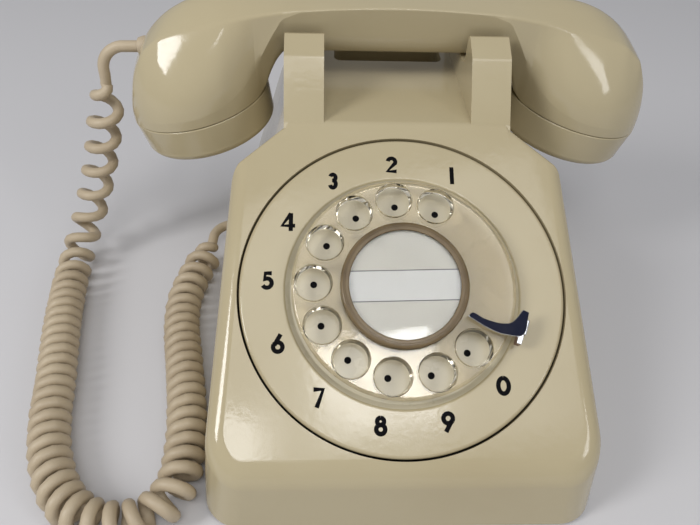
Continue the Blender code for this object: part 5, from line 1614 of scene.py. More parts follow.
    def shell(self) -> None:
        """The shell with its two cups and the bore of the cord."""
        outward = self.sections()
        rings = [self.ring(section, -1) for section in outward[:0:-1]]
        rings += [self.ring(section, 1) for section in outward]
        item = lofted("handset_body", rings)
        hollow = [
            (0, -8 * MM),
            (self.cup_radius, -8 * MM),
            (self.cup_radius, self.cup_depth),
            (self.well_radius, self.cup_depth),
            (self.well_radius, self.well_depth),
            (0, self.well_depth),
        ]
        for side in Side:
            combined(item, turned("cup", hollow, 96, place=self.head_frame(side)))
        start = (self.bore_x, HANDSET_Y, LEAD_HEIGHT)
        end = (self.bore_x - 25 * MM, HANDSET_Y, LEAD_HEIGHT)
        combined(item, rod("bore", start, end, self.bore_radius))
        smoothed(item, 38)
        stand_in(dressed(item, self.palette.ivory), "handset", "ivory_shell", "handset_shell")

    def cap(self, side: Side) -> None:
        """One cap with its sound holes.

        Args:
            side: Which end of the handset.
        """
        edge = 3.4 * MM
        inner = self.cap_wall - self.cap_depth
        skirt = self.cup_radius - CLEARANCE
        rim = self.seam_radius * MM
        profile = [
            (0, inner + 1.0 * MM),
            (skirt - self.cap_wall, inner + 1.2 * MM),
            (skirt - self.cap_wall, self.cap_skirt),
            (skirt, self.cap_skirt),
            (skirt, -CLEARANCE),
            *arc((rim - 0.5 * MM, -CLEARANCE - 0.5 * MM), 0.5 * MM, 90, 0, 4),
            *arc((self.cap_face_radius - edge, -self.cap_depth + edge), edge, 8, -80, 12),
            (12 * MM, -self.cap_depth + 0.5 * MM),
            (0, -self.cap_depth + 1.2 * MM),
        ]
        name = side.name.lower() + "_cap"
        item = turned(name + "_moulded", profile, 112)
        transmitter = side is Side.TRANSMITTER
        rings = ((1, 0.0), (8, 6.0 * MM)) if transmitter else ((1, 0.0), (6, 4.6 * MM))
        radius = 1.1 * MM if transmitter else 1.4 * MM
        for count, reach in rings:
            for angle in np.arange(count) * math.tau / count:
                x, y = reach * math.cos(angle), reach * math.sin(angle)
                low = (x, y, -self.cap_depth - 2 * MM)
                combined(item, rod("sound_hole", low, (x, y, inner + 3 * MM), radius, 20))
        smoothed(item, 35)
        settled(item, self.head_frame(side))
        stand_in(dressed(item, self.palette.ivory), "handset", "ivory_shell", name)

    def bushing(self) -> None:
        """The sleeve round the cord where it leaves the handset."""
        bore, outer = CORD_DIAMETER / 2 + CLEARANCE, self.bore_radius - CLEARANCE
        length = self.bushing_length
        profile = [
            (bore, length),
            *arc((outer - 1.2 * MM, length - 0.5 * MM), 0.5 * MM, 90, 20, 4),
            (outer, length - 2.5 * MM),
            (outer, CLEARANCE),
            (bore, CLEARANCE),
        ]
        mouth = Matrix.Translation((self.bore_x, HANDSET_Y, LEAD_HEIGHT))
        place = mouth @ Matrix.Rotation(-math.pi / 2, 4, "Y")
        item = smoothed(turned("handset_bushing", profile, 64, closed=True, place=place))
        stand_in(dressed(item, self.palette.cord), "handset", "dark_plastic", "cord_bushing")

    def build(self) -> None:
        """Makes the handset's pieces."""
        self.shell()
        for side in Side:
            self.cap(side)
        self.bushing()


# Dial


@dataclass
class Dial:
    """The number plate with its numerals and dots, the clear finger wheel, its card and the finger stop."""

    palette: Palette
    plate_radius: float = 56.0 * MM
    ring_inner: float = 39.6 * MM
    plate_thickness: float = 2.0 * MM
    recess: float = 2.2 * MM
    skirt: float = 8.7 * MM
    wheel_radius: float = 38.0 * MM
    wheel_low: float = 2.3 * MM
    wheel_top: float = 5.3 * MM
    shaft_hole: float = 3.5 * MM
    hole_circle: float = 30.6 * MM
    hole_radius: float = 6.1 * MM
    hole_foot_radius: float = 5.7 * MM
    lip: float = 0.5 * MM
    lip_wall: float = 0.42 * MM
    first_hole: float = math.radians(67.7)
    first_numeral: float = math.radians(65.7)
    hole_pitch: float = math.radians(27.68)
    hole_count: int = 10
    hub_radius: float = 9.0 * MM
    shaft_radius: float = 3.0 * MM
    bezel_radius: float = 21.7 * MM
    bezel_height: float = 2.4 * MM
    card_radius: float = 19.6 * MM
    card_thickness: float = 0.4 * MM
    window_thickness: float = 1.0 * MM
    numeral_circle: float = 46.25 * MM
    numeral_height: float = 6.6 * MM
    stroke: float = 1.52 * MM
    ink_height: float = 0.06 * MM
    dot_radius: float = 1.2 * MM
    card_turn: float = math.radians(1.4)
    stop_turn: float = math.radians(-20)
    stop_level: float = 6.3 * MM
    stop_thickness: float = 1.2 * MM
    stop_leg_radius: float = 41.6 * MM
    stop_leg_half: float = 2.6 * MM
    stop_shoulder_low: Point3 = (40.5 * MM, -6.1 * MM, 2.9 * MM)
    stop_shoulder_far: Point2 = (42.3 * MM, -2.0 * MM)
    # The stop's blade in the plane of the dial, X outwards, in millimetres
    stop_outline: tuple[Point2, ...] = (
        (22.9, -3.1),
        (24.2, -1.3),
        (28.5, -2.0),
        (33.9, -1.6),
        (37.3, 0.2),
        (39.4, 4.9),
        (41.7, 5.0),
        (41.9, -2.8),
        (36.3, -4.8),
        (32.9, -5.0),
        (28.6, -4.5),
    )

    def spots(self, radius: float, first: float) -> list[Point2]:
        """Places of the ten holes, dots or numerals on a circle, 1 first."""
        angles = first + np.arange(self.hole_count) * self.hole_pitch
        return [(radius * math.cos(angle), radius * math.sin(angle)) for angle in angles]

    def leg(self, name: str, margin: float) -> Object:
        """The leg of the finger stop, or the slot for it where a margin is given.

        Args:
            name: The form's name.
            margin: How much wider than the leg it is on each side.

        Returns:
            The new form.
        """
        radius, half = self.stop_leg_radius, self.stop_leg_half + margin
        root = -self.skirt - (2 * MM if margin else 0)
        level = self.stop_level + self.stop_thickness * (1 if margin else 0.6)
        high = (radius + self.stop_thickness + margin, half, level)
        leg = block(name, (radius - margin, -half, root), high)
        return settled(leg, Matrix.Rotation(self.stop_turn, 4, "Z"))

    def placed(self, item: Object, material: Material, body: str, slot: str, *nodes: str) -> None:
        """Puts a finished piece into the frame of the dial, dressed and on its body.

        Args:
            item: The finished piece, flat at the origin.
            material: Its finish.
            body: The body that carries it.
            slot: The record's material slot.
            nodes: The solids that it stands for.
        """
        settled(item, DIAL_FRAME)
        stand_in(dressed(item, material), body, slot, *nodes)

    def plate(self) -> None:
        """The ring that carries the numerals, stepped down to the floor under the wheel."""
        outer, inner, thick = self.plate_radius, self.ring_inner, self.plate_thickness
        edge = 1.2 * MM
        profile = [
            (inner + 1.6 * MM, 0.0),
            *arc((outer - edge, -edge), edge, 90, 0, 8),
            (outer, -self.skirt),
            (outer - thick, -self.skirt),
            (outer - thick, -thick),
            (inner + 0.6 * MM, -thick),
            (inner - 0.6 * MM, -self.recess - thick),
            (self.hub_radius + 0.5 * MM, -self.recess - thick),
            (self.hub_radius + 0.5 * MM, -self.recess),
            *arc((inner - 1.2 * MM, -self.recess + 0.8 * MM), 0.8 * MM, -90, -25, 5),
            *arc((inner + 1.6 * MM, -1.0 * MM), 1.0 * MM, 155, 100, 5),
        ]
        item = turned("numbered_plate", profile, 144, closed=True)
        combined(item, self.leg("stop_slot", CLEARANCE))
        smoothed(item, 30)
        dressed(item, self.palette.ivory)
        # The faces inside this radius, the floor under the clear wheel, get the lighter copy of the ivory:
        # painted light against the wheel's shade
        floor = self.ring_inner + 0.3 * MM
        painted(
            item,
            self.palette.painted_light_under_wheel,
            lambda face: face.calc_center_median().xy.length < floor,
        )
        settled(item, DIAL_FRAME)
        stand_in(item, "base", "ivory_shell", "number_plate")

    def numeral_strokes(self, digit: int) -> list[list[Point2]]:
        """Middle lines of a plain numeral, in a box one high and centred on its middle.

        Args:
            digit: The numeral, 0 to 9.

        Returns:
            One list of points for each stroke.
        """
        half = 0.5 - self.stroke / self.numeral_height / 2
        bowl = 0.17
        strokes: dict[int, list[list[Point2]]] = {
            0: [[(x * 0.265, y * half) for x, y in arc((0, 0), 1.0, 90, 450, 40)]],
            1: [[(0.0, 0.5), (0.0, -0.5)]],
            2: [[*arc((0, half - 0.21), 0.21, 170, -25, 16), (-0.24, -half), (0.27, -half)]],
            3: [
                [(x * 0.8, y) for x, y in arc((-0.02, half - 0.18), 0.18, 160, -85, 16)],
                [(x * 0.72, y) for x, y in arc((-0.02, -half + 0.215), 0.215, 85, -165, 18)],
                [(-0.06, 0.035), (0.04, 0.035)],
            ],
            4: [
                [(0.36, -0.2), (-0.33, -0.2), (0.11, 0.45), (0.13, 0.5)],
                [(0.13, 0.5), (0.13, -0.5)],
            ],
            5: [
                [
                    (0.20, half),
                    (-0.13, half),
                    (-0.19, 0.04),
                    *arc((-0.04, -half + 0.245), 0.245, 110, -150, 18),
                ],
            ],
            6: [[(0.13, 0.5), (-0.18, -0.06)], [*arc((0, -half + 0.235), 0.235, 150, 510, 30)]],
            7: [[(-0.25, half), (0.23, half), (-0.09, -0.5)]],
            8: [
                [*arc((0, half - bowl), bowl, 90, 450, 26)],
                [*arc((0, -half + 0.22), 0.22, 90, 450, 28)],
            ],
            9: [[(-0.13, -0.5), (0.18, 0.06)], [*arc((0, half - 0.235), 0.235, -30, 330, 30)]],
        }
        return strokes[digit]

    def numerals(self) -> None:
        """Ten plain black numerals printed on the ring."""
        items = []
        height = self.numeral_height
        for index, (x, y) in enumerate(self.spots(self.numeral_circle, self.first_numeral)):
            digit = (index + 1) % 10
            for stroke in self.numeral_strokes(digit):
                points = [(x + across * height, y + up * height, 0) for across, up in stroke]
                item = tube(f"numeral_{digit}", points, self.stroke / 2, 3)
                item.scale = (1, 1, 2 * self.ink_height / self.stroke)
                items.append(settled(item))
        item = smoothed(joined("dial_numerals", items), 40, weighted=False)
        self.placed(item, self.palette.ink, "base", "dark_plastic")

    def dots(self) -> None:
        """Ten black dots on the floor under the wheel."""
        items = []
        radius, height = self.dot_radius, self.ink_height
        profile = [(0, height), (radius * 0.9, height), (radius, 0), (0, 0)]
        for x, y in self.spots(self.hole_circle, self.first_numeral):
            place = Matrix.Translation((x, y, -self.recess + 0.01 * MM))
            items.append(turned("dot", profile, 28, place=place))
        item = smoothed(joined("dial_dots", items), 30)
        self.placed(item, self.palette.ink, "base", "dark_plastic")

    def wheel(self) -> None:
        """The clear finger wheel with ten rounded, lipped holes."""
        low, top, radius = self.wheel_low, self.wheel_top, self.wheel_radius
        edge = 1.3 * MM
        profile = [
            (self.shaft_hole, top),
            *arc((radius - edge, top - edge), edge, 90, 0, 8),
            *arc((radius - 0.5 * MM, low + 0.4 * MM), 0.4 * MM, 0, -90, 4),
            (self.shaft_hole, low),
        ]
        item = turned("clear_wheel", profile, 144, closed=True)
        bore, foot, wall, lip = self.hole_radius, self.hole_foot_radius, self.lip_wall, self.lip
        rim = [
            (bore - 0.5 * MM, top - MM),
            (bore + wall, top - MM),
            (bore + wall, top + 0.1 * MM),
            (bore + wall * 0.8, top + lip * 0.72),
            (bore + wall * 0.35, top + lip),
            (bore - 0.5 * MM, top + lip),
        ]
        flare = [
            (0, low - 4 * MM),
            (foot + 0.3 * MM, low - 4 * MM),
            (foot + 0.3 * MM, low - 0.02 * MM),
            (foot, low + 0.35 * MM),
            (bore, top + lip - 0.45 * MM),
            (bore + 0.06 * MM, top + lip - 0.2 * MM),
            (bore + 0.2 * MM, top + lip + 0.02 * MM),
            (bore + 0.2 * MM, top + 4 * MM),
            (0, top + 4 * MM),
        ]
        places = [
            Matrix.Translation((x, y, 0)) for x, y in self.spots(self.hole_circle, self.first_hole)
        ]
        for place in places:
            lip_ring = turned("lip", rim, 64, closed=True, place=place)
            combined(item, lip_ring, Operation.ADD, Solver.MANIFOLD)
        for place in places:
            combined(item, turned("hole", flare, 64, place=place), solver=Solver.MANIFOLD)
        smoothed(item, 32)
        clear = self.palette.clear
        self.placed(item, clear, "dial_rotor", "clear_plastic", "finger_wheel")

    def hub(self) -> None:
        """The hub that carries the wheel on its shaft."""
        low = self.wheel_low
        hub_low = -self.recess - self.plate_thickness
        shaft, hub = self.shaft_radius + 0.05 * MM, self.hub_radius
        profile = [
            (shaft, low - CLEARANCE),
            *arc((hub - 0.4 * MM, low - CLEARANCE - 0.4 * MM), 0.4 * MM, 90, 0, 4),
            (hub, hub_low),
            (shaft, hub_low),
        ]
        item = smoothed(turned("hub", profile, 72, closed=True))
        self.placed(item, self.palette.steel, "dial_rotor", "steel", "wheel_hub")

    @property
    def card_low(self) -> float:
        """The card's lower face in the dial's frame."""
        return self.wheel_top + CLEARANCE

    @property
    def card_top(self) -> float:
        """The card's upper face in the dial's frame."""
        return self.card_low + self.card_thickness

    @property
    def window_top(self) -> float:
        """The window's upper face in the dial's frame."""
        return self.card_top + CLEARANCE + self.window_thickness

    def card(self) -> None:
        """The round card, without its print."""
        low, top, radius = self.card_low, self.card_top, self.card_radius
        edge = 0.05 * MM
        profile = [(0, top), (radius - edge, top), (radius, top - edge), (radius, low), (0, low)]
        item = smoothed(turned("blank_card", profile, 96))
        self.placed(item, self.palette.card, "dial_rotor", "card", "number_card")

    def window(self) -> None:
        """The clear window over the card."""
        low, top, radius = self.card_top + CLEARANCE, self.window_top, self.card_radius
        edge = 0.3 * MM
        profile = [
            (0, top),
            *arc((radius - edge, top - edge), edge, 90, 0, 4),
            (radius, low),
            (0, low),
        ]
        item = smoothed(turned("clear_cover", profile, 96))
        clear = self.palette.window
        self.placed(item, clear, "dial_rotor", "clear_plastic", "card_window")

    def bezel(self) -> None:
        """The grooved ring round the window, which holds it down."""
        radius, outer, low = self.card_radius, self.bezel_radius, self.card_low
        lip_low = self.window_top + CLEARANCE
        top = max(self.wheel_top + self.bezel_height, lip_low + 0.5 * MM)
        profile = [
            *arc((radius - 0.55 * MM, top - 0.35 * MM), 0.35 * MM, 180, 90, 4),
            (radius + 0.25 * MM, top),
            (radius + 0.35 * MM, top - 0.16 * MM),
            (radius + 0.55 * MM, top - 0.16 * MM),
            (radius + 0.65 * MM, top),
            (radius + 0.85 * MM, top),
            (radius + 0.93 * MM, top - 0.14 * MM),
            (radius + 1.05 * MM, top - 0.14 * MM),
            *arc((outer - 1.0 * MM, top - 0.9 * MM), 0.9 * MM, 90, 8, 8),
            (outer, low),
            (radius + CLEARANCE, low),
            (radius + CLEARANCE, lip_low),
            (radius - 0.9 * MM, lip_low),
        ]
        item = smoothed(turned("bezel_ring", profile, 128, closed=True), 30)
        self.placed(item, self.palette.bezel, "dial_rotor", "bezel", "card_bezel")

    def strip(self) -> None:
        """A plain white strip between two thin black lines across the card."""
        level = self.card_top
        reach = self.card_radius - 0.35 * MM
        low, high, line = -5.5 * MM, 5.0 * MM, 0.33 * MM
        place = DIAL_FRAME @ Matrix.Rotation(self.card_turn, 4, "Z")

        def band(name: str, bottom: float, top: float, lift: float) -> Object:
            """A thin printed band across the card.

            Args:
                name: The band's name.
                bottom: Its lower edge.
                top: Its upper edge.
                lift: How high it stands on the card.

            Returns:
                The new band.
            """
            left = [(-math.sqrt(reach**2 - y**2), y, level) for y in np.linspace(top, bottom, 9)]
            right = [(math.sqrt(reach**2 - y**2), y, level) for y in np.linspace(bottom, top, 9)]
            return settled(cut_out(name, [*left, *right], (0, 0, lift)), place)

        item = band("card_strip", low, high, 0.02 * MM)
        stand_in(dressed(item, self.palette.strip), "dial_rotor", "card")
        lines = [band("line", y, y + line, 0.04 * MM) for y in (low - line / 2, high - line / 2)]
        item = joined("card_lines", lines)
        stand_in(dressed(item, self.palette.ink), "dial_rotor", "dark_plastic")

    def stop(self) -> None:
        """The chromed finger stop: a curved blade over the wheel on a leg through the plate."""
        turn = Matrix.Rotation(self.stop_turn, 4, "Z")
        points = [(x * MM, y * MM, self.stop_level) for x, y in self.stop_outline]
        outline = smooth_route([*points[:6], points[5]], 0.4 * MM)[:-1].tolist()
        outline += smooth_route(points[6:], 0.4 * MM).tolist()
        item = cut_out("finger_stop_blade", outline, (0, 0, self.stop_thickness))
        item = rounded(item, 0.32 * MM, 3, 50)
        settled(item, turn)
        leg = rounded(self.leg("stop_leg", 0.0), 0.3 * MM, 3)
        combined(item, leg, Operation.ADD, Solver.MANIFOLD)
        high = (*self.stop_shoulder_far, self.stop_level + 0.4 * MM)
        shoulder = rounded(block("stop_shoulder", self.stop_shoulder_low, high), 0.3 * MM, 3)
        combined(item, settled(shoulder, turn), Operation.ADD, Solver.MANIFOLD)
        smoothed(item, 35)
        dressed(item, self.palette.chrome)
        low = self.stop_level - 0.02 * MM
        top = self.stop_level + self.stop_thickness - 0.02 * MM
        palette = self.palette
        # The top faces get the painted dark reflection; the faces underneath get browned steel
        painted(item, palette.chrome_painted_dark_reflection, lambda face: face.calc_center_median().z > top)
        painted(item, palette.rust, lambda face: face.calc_center_median().z < low)
        settled(item, DIAL_FRAME)
        stand_in(item, "base", "chrome", "finger_stop")

    def build(self) -> None:
        """Makes the dial's pieces."""
        self.plate()
        self.numerals()
        self.dots()
        self.wheel()
        self.hub()
        self.card()
        self.strip()
        self.window()
        self.bezel()
        self.stop()


# Underside and works


@dataclass
class Underside:
    """Base plate with its feet and screws, the loudness wheel and the grommet of the curly cord."""

    palette: Palette
    plate_half: Point2 = (65.04 * MM, 99.34 * MM)
    plate_levels: Point2 = (4.0 * MM, 5.5 * MM)
    corner: float = 14.0 * MM
    foot_spots: Point2 = (40.0 * MM, 67.0 * MM)
    foot_height: float = 3.7 * MM
    screw_radius: float = 1.8 * MM
    wheel_place: Point2 = (44.0 * MM, 34.0 * MM)
    wheel_radius: float = 12.0 * MM
    grips: int = 32
    grommet_x: float = -67.602 * MM

    def corners(self) -> list[tuple[str, int, int]]:
        """Name and signs of each corner of the base.

        Returns:
            Rows of the name, the sign along X and the sign along Y.
        """
        return [
            ("front_left", -1, -1),
            ("front_right", 1, -1),
            ("back_left", -1, 1),
            ("back_right", 1, 1),
        ]

    def plate(self) -> None:
        """The steel plate with round corners and the holes for screws and wheel."""
        half_x, half_y = self.plate_half
        outline = []
        for number, (sx, sy) in enumerate(((1, 1), (-1, 1), (-1, -1), (1, -1))):
            centre = (sx * (half_x - self.corner), sy * (half_y - self.corner))
            outline += arc(centre, self.corner, 90 * number, 90 * number + 90, 12)
        low, high = self.plate_levels
        item = cut_out("base_plate_pressed", [(x, y, low) for x, y in outline], (0, 0, high - low))
        screw_hole = self.screw_radius + CLEARANCE
        holes = [(side * x, y, screw_hole) for x, y in SCREW_SPOTS for side in (-1, 1)]
        holes.append((*self.wheel_place, 2.5 * MM))
        for x, y, radius in holes:
            combined(item, rod("plate_hole", (x, y, low - MM), (x, y, high + MM), radius, 32))
        rounded(item, 0.25 * MM, 2, 50)
        stand_in(dressed(smoothed(item), self.palette.steel), "base", "steel", "base_plate")

    def feet(self) -> None:
        """Four rubber feet with a hollow in the tread."""
        profile = [
            (0, self.foot_height),
            (7.9 * MM, self.foot_height),
            (8.0 * MM, self.foot_height - 0.2 * MM),
            (7.8 * MM, 2.6 * MM),
            *arc((6.1 * MM, 0.6 * MM), 0.6 * MM, 10, -90, 5),
            (4.7 * MM, 0),
            (4.4 * MM, 0.4 * MM),
            (2.2 * MM, 0.45 * MM),
            (1.9 * MM, 1.1 * MM),
            (0, 1.1 * MM),
        ]
        first = turned("foot", profile, 48)
        smoothed(first, 40)
        dressed(first, self.palette.rubber)
        x, y = self.foot_spots
        for name, sx, sy in self.corners():
            foot = copied(first, f"foot_{name}_moulded", (sx * x, sy * y, 0))
            stand_in(foot, "base", "rubber", f"foot_{name}")
        bpy.data.objects.remove(first, do_unlink=True)

    def screws(self) -> None:
        """Four pan-head screws with a straight slot."""
        shank, head = self.screw_radius, self.screw_radius * 1.9
        profile = [
            (0, 12.8 * MM),
            (shank - 0.5 * MM, 12.8 * MM),
            (shank, 12.2 * MM),
            (shank, self.foot_height),
            (head - 0.1 * MM, self.foot_height),
            (head, self.foot_height - 0.2 * MM),
            *arc((head - 0.9 * MM, 3.1 * MM), 0.9 * MM, 0, -80, 5),
            (0, 2.12 * MM),
        ]
        first = turned("screw", profile, 36)
        slot = block("screw_slot", (-6 * MM, -0.4 * MM, MM), (6 * MM, 0.4 * MM, 2.95 * MM))
        combined(first, slot)
        smoothed(first, 35)
        dressed(first, self.palette.steel)
        for name, sx, sy in self.corners():
            x, y = SCREW_SPOTS[0 if sy < 0 else 1]
            screw = copied(first, f"screw_{name}_slotted", (sx * x, y, 0))
            stand_in(screw, "base", "steel", f"screw_{name}")
        bpy.data.objects.remove(first, do_unlink=True)

    def loudness_wheel(self) -> None:
        """The wheel with scalloped grip that turns the gongs' stop."""
        angles = np.linspace(0, math.tau, self.grips * 8, endpoint=False)
        dip = 0.4 * MM * (1 + np.cos(self.grips * angles)) ** 1.5 / 2**0.5
        reach = self.wheel_radius - dip
        outline = [(r * math.cos(a), r * math.sin(a), 1.3 * MM) for a, r in zip(angles, reach)]
        item = cut_out("loudness_wheel_grip", outline, (0, 0, 2.4 * MM))
        rounded(item, 0.35 * MM, 3, 60)
        dish = turned(
            "wheel_dish",
            [(0, MM), (8.2 * MM, MM), (8.2 * MM, 1.7 * MM), (7.6 * MM, 2.0 * MM), (0, 2.0 * MM)],
            48,
        )
        combined(item, dish)
        pin = rod("wheel_pin", (0, 0, 2.6 * MM), (0, 0, 8.5 * MM), 2.2 * MM, 32)
        combined(item, rounded(pin, 0.3 * MM, 2), Operation.ADD)
        smoothed(item, 35)
        settled(item, Matrix.Translation((*self.wheel_place, 0)))
        dressed(item, self.palette.black)
        stand_in(item, "loudness_wheel", "dark_plastic", "loudness_wheel")

    def grommet(self) -> None:
        """The black bush where the curly cord enters the housing."""
        profile = [
            (2.6 * MM, 2.7 * MM),
            (2.9 * MM, 3.0 * MM),
            (4.2 * MM, 3.0 * MM),
            *arc((4.2 * MM, 2.0 * MM), 1.0 * MM, 80, 0, 5),
            (5.2 * MM, 0.5 * MM),
            (4.0 * MM, 0.5 * MM),
            (4.0 * MM, -6.6 * MM),
            (3.8 * MM, -6.8 * MM),
            (2.6 * MM, -6.8 * MM),
        ]
        mouth = Matrix.Translation((self.grommet_x, INLET_Y, INLET_Z))
        place = mouth @ Matrix.Rotation(-math.pi / 2, 4, "Y")
        item = smoothed(turned("cord_grommet_moulded", profile, 48, closed=True, place=place))
        stand_in(dressed(item, self.palette.black), "base", "dark_plastic", "cord_grommet")

    def build(self) -> None:
        """Makes everything under the telephone."""
        self.plate()
        self.feet()
        self.screws()
        self.loudness_wheel()
        self.grommet()


@dataclass
class Works:
    """What lies inside: plungers and spindles as finished pieces, the other solids with finishes."""

    palette: Palette
    plunger_x: float = 34.65 * MM
    plunger_half: Point2 = (4.0 * MM, 3.0 * MM)
    nib_half: Point2 = (2.0 * MM, 1.5 * MM)
    plunger_levels: Point3 = (57.63 * MM, 61.63 * MM, 104.7 * MM)
    spindle_radius: float = 1.585 * MM
    spindle_levels: Point2 = (-28.8 * MM, -8.5 * MM)
    pulse_spot: Point2 = (-5.209 * MM, 29.545 * MM)
    governor_spot: Point2 = (10.577 * MM, 35.291 * MM)
    steel: tuple[str, ...] = (
        "hook_frame",
        "hook_lever",
        "hook_spring",
        "gong_post_left",
        "gong_post_right",
        "clapper",
        "ringer_frame",
        "dial_shaft",
        "dial_mounting_plate",
        "dial_bridge",
        "dial_bracket_left",
        "dial_bracket_right",
        "motor_spring",
        "governor_cup",
    )
    brass: tuple[str, ...] = (
        "gong_left",
        "gong_right",
        "network_terminals",
        "drive_gear",
        "pulse_pinion",
        "governor_gear",
        "governor_pinion",
        "governor_weights",
    )
    black: tuple[str, ...] = (
        "hook_contacts",
        "pulse_contacts",
        "pulse_cam",
        "network_block",
        "transmitter_unit",
        "receiver_unit",
    )

    def plungers(self) -> None:
        """The two plungers that the handset presses down."""
        nib_low, low, high = self.plunger_levels
        half_x, half_y = self.plunger_half
        for side, name in ((-1, "plunger_left"), (1, "plunger_right")):
            x, y = side * self.plunger_x, HANDSET_Y
            item = block(
                f"{name}_moulded", (x - half_x, y - half_y, low), (x + half_x, y + half_y, high)
            )
            nib_x, nib_y = self.nib_half
            nib = block("nib", (x - nib_x, y - nib_y, nib_low), (x + nib_x, y + nib_y, low + MM))
            combined(item, nib, Operation.ADD)
            rounded(item, 0.8 * MM, 4, 50)
            stand_in(dressed(smoothed(item), self.palette.ivory), name, "ivory_shell", name)

    def spindles(self) -> None:
        """The two round spindles behind the dial, clear of their bearings at every turn."""
        low, high = self.spindle_levels
        for body, name, (x, y) in (
            ("pulse_train", "pulse_spindle", self.pulse_spot),
            ("governor", "governor_spindle", self.governor_spot),
        ):
            item = rod(f"{name}_turned", (x, y, low), (x, y, high), self.spindle_radius)
            settled(smoothed(rounded(item, 0.25 * MM, 2, 50)), DIAL_FRAME)
            stand_in(dressed(item, self.palette.steel), body, "steel", name)

    def finished(self) -> None:
        """Gives the solids that stay as they are their finishes."""
        groups = (
            (self.steel, self.palette.steel),
            (self.brass, self.palette.brass),
            (self.black, self.palette.black),
            (("ringer_coil",), self.palette.winding),
        )
        for names, material in groups:
            for name in names:
                dressed(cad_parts[name], material)
                LOG.info("%s keeps its solid, finished as %s", name, material.name)

    def build(self) -> None:
        """Makes the plungers and spindles and finishes the rest."""
        self.plungers()
        self.spindles()
        self.finished()


# Curly cord


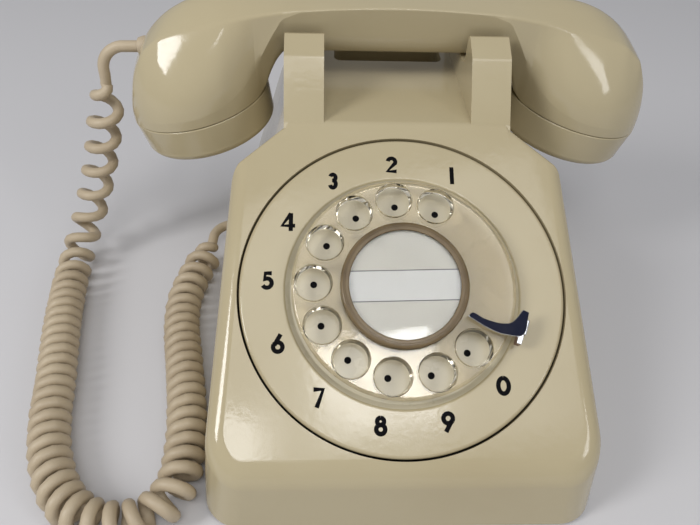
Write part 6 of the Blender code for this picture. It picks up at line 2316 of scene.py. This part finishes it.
@dataclass
class CurlyCord:
    """The cord from the handset down to the table, forward in a loop and back into the housing."""

    palette: Palette
    curl_radius: float = 5.4 * MM
    curl_gap: float = 0.55 * MM
    loose_pitch: float = 13.0 * MM
    curl_slant: float = math.radians(9)
    points_per_curl: int = 14
    smoothing_rounds: int = 120
    lead_steps: int = 12
    hang_share: float = 0.24
    loose_share: float = 0.86
    lead_start_x: float = -94.0 * MM
    top: Point3 = (-117.5 * MM, 47.0 * MM, 92.0 * MM)
    lead_bend: float = 10.0 * MM
    # The point of the route at which the cord has reached the table
    landing: int = 5
    inlet_x: float = -60.7 * MM
    # Middle line of the curls in millimetres
    route: tuple[Point3, ...] = (
        (-117.5, 47.0, 91.7),
        (-118.2, 47.0, 86.5),
        (-123.0, 46.5, 67.0),
        (-130.0, 45.0, 45.0),
        (-138.0, 41.0, 24.0),
        (-142.8, 31.0, 11.5),
        (-143.0, 18.0, 8.2),
        (-141.4, 3.0, 8.2),
        (-137.6, -19.5, 8.2),
        (-132.8, -42.0, 8.2),
        (-129.0, -62.0, 8.2),
        (-124.4, -78.0, 8.2),
        (-117.0, -92.0, 8.2),
        (-106.5, -101.5, 8.2),
        (-94.5, -104.0, 8.2),
        (-84.0, -100.5, 8.2),
        (-77.8, -91.5, 8.2),
        (-76.7, -79.5, 8.2),
        (-78.3, -63.0, 8.2),
        (-82.7, -40.7, 8.2),
        (-87.3, -19.5, 8.2),
        (-88.9, -1.8, 8.2),
        (-86.4, 14.6, 8.4),
        (-82.8, 27.0, 9.4),
        (-81.2, 33.0, 10.6),
        (-80.9, 38.0, 11.0),
    )

    def pitch(self, share: float, bend: float) -> float:
        """Advance of one curl: closed along the table, loose while it hangs and near the housing.

        Args:
            share: Where along the middle line, from 0 to 1.
            bend: The middle line's curvature there.

        Returns:
            The distance along the middle line that one turn takes.
        """
        straight = (CORD_DIAMETER + self.curl_gap) / math.cos(self.curl_slant)
        closed = straight / (1 - self.curl_radius * bend)
        landed = (share - self.hang_share * 0.75) / (self.hang_share * 0.5)
        hanging = 1 - min(1.0, max(0.0, landed))
        ending = min(1.0, max(0.0, (share - self.loose_share) / (1 - self.loose_share)))
        return max(closed, closed + (self.loose_pitch - closed) * max(hanging, 0.45 * ending))

    def curls(self) -> np.ndarray:
        """The helix about the middle line, with straight ends of one diameter.

        Returns:
            The points of the wound stretch.
        """
        middle = smooth_route([[c * MM for c in point] for point in self.route], 0.25 * MM)
        for _ in range(self.smoothing_rounds):
            middle[1:-1] = (middle[:-2] + 2 * middle[1:-1] + middle[2:]) / 4
        steps = np.diff(middle, axis=0)
        lengths = np.linalg.norm(steps, axis=1)
        tangents = steps / lengths[:, None]
        across = np.cross(tangents[0], (0.0, 1.0, 0.0))
        total = lengths.sum()
        ease = 2.5 * CORD_DIAMETER
        # How many steps before and after a point its bend is taken from
        span = 12
        points, travelled, angle, next_angle = [], 0.0, 0.0, 0.0
        for i, tangent in enumerate(tangents):
            across = across - tangent * across.dot(tangent)
            across /= np.linalg.norm(across)
            upright = np.cross(tangent, across)
            change = tangents[min(i + span, len(tangents) - 1)] - tangents[max(i - span, 0)]
            bend = np.linalg.norm(change) / (2 * span * lengths[i])
            if CORD_DIAMETER < travelled < total - CORD_DIAMETER:
                rest = min(travelled, total - travelled) - CORD_DIAMETER
                radius = self.curl_radius * math.sin(math.pi / 2 * min(1.0, rest / ease))
                if angle >= next_angle:
                    arm = across * math.cos(angle) + upright * math.sin(angle)
                    points.append(middle[i] + radius * arm)
                    next_angle += math.tau / self.points_per_curl
                angle += math.tau * lengths[i] / self.pitch(travelled / total, min(bend, 0.1 / MM))
            travelled += lengths[i]
        start = [middle[0], middle[0] + tangents[0] * CORD_DIAMETER]
        end = [middle[-1] - tangents[-1] * CORD_DIAMETER, middle[-1]]
        LOG.info("the cord has %.1f curls", angle / math.tau)
        return np.vstack([start, points, end])

    def handset_lead(self) -> list[Point3]:
        """The lead from inside the handset, bent down to the curls.

        Returns:
            The points of its middle line.
        """
        x, y, _ = self.top
        steps = self.lead_steps
        lead = [
            (self.lead_start_x, HANDSET_Y, LEAD_HEIGHT),
            (x + self.lead_bend + 6 * MM, HANDSET_Y, LEAD_HEIGHT),
        ]
        for i in range(1, steps + 1):
            angle = math.radians(90 * i / steps)
            lead.append(
                (
                    x + self.lead_bend * (1 - math.sin(angle)),
                    HANDSET_Y + (y - HANDSET_Y) * i / steps,
                    LEAD_HEIGHT - self.lead_bend * (1 - math.cos(angle)),
                )
            )
        return lead

    def body_lead(self) -> list[Point3]:
        """The lead from the curls through the grommet into the housing.

        Returns:
            The points of its middle line.
        """
        end_x, end_y, _ = (c * MM for c in self.route[-1])
        turn = INLET_Y - end_y
        lead = []
        for i in range(1, self.lead_steps + 1):
            angle = math.radians(90 * i / self.lead_steps)
            x, y = end_x + turn * (1 - math.cos(angle)), end_y + turn * math.sin(angle)
            lead.append((x, y, INLET_Z))
        lead.append((self.inlet_x, INLET_Y, INLET_Z))
        return lead

    def build(self) -> None:
        """Makes the cord as one mesh tube."""
        path = np.vstack([self.handset_lead(), self.curls(), self.body_lead()])
        item = tube("curly_cord", path, CORD_DIAMETER / 2, 4)
        with editing(item):
            bpy.ops.mesh.remove_doubles(threshold=MERGE)
        smoothed(item, 60, weighted=False)
        dressed(item, self.palette.cord)
        x, y, high = self.top
        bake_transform(item)
        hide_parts("handset_cord", "cord_handset_lead", "cord_body_lead")


def main() -> None:
    """Builds the stage, every piece of the telephone and its finishes."""
    logging.basicConfig(level=logging.INFO, format="%(message)s")
    palette = Palette()
    Studio().build()
    CurlyCord(palette).build()
    Housing(palette).build()
    Handset(palette).build()
    Dial(palette).build()
    Underside(palette).build()
    Works(palette).build()


if __name__ == "__main__":
    main()
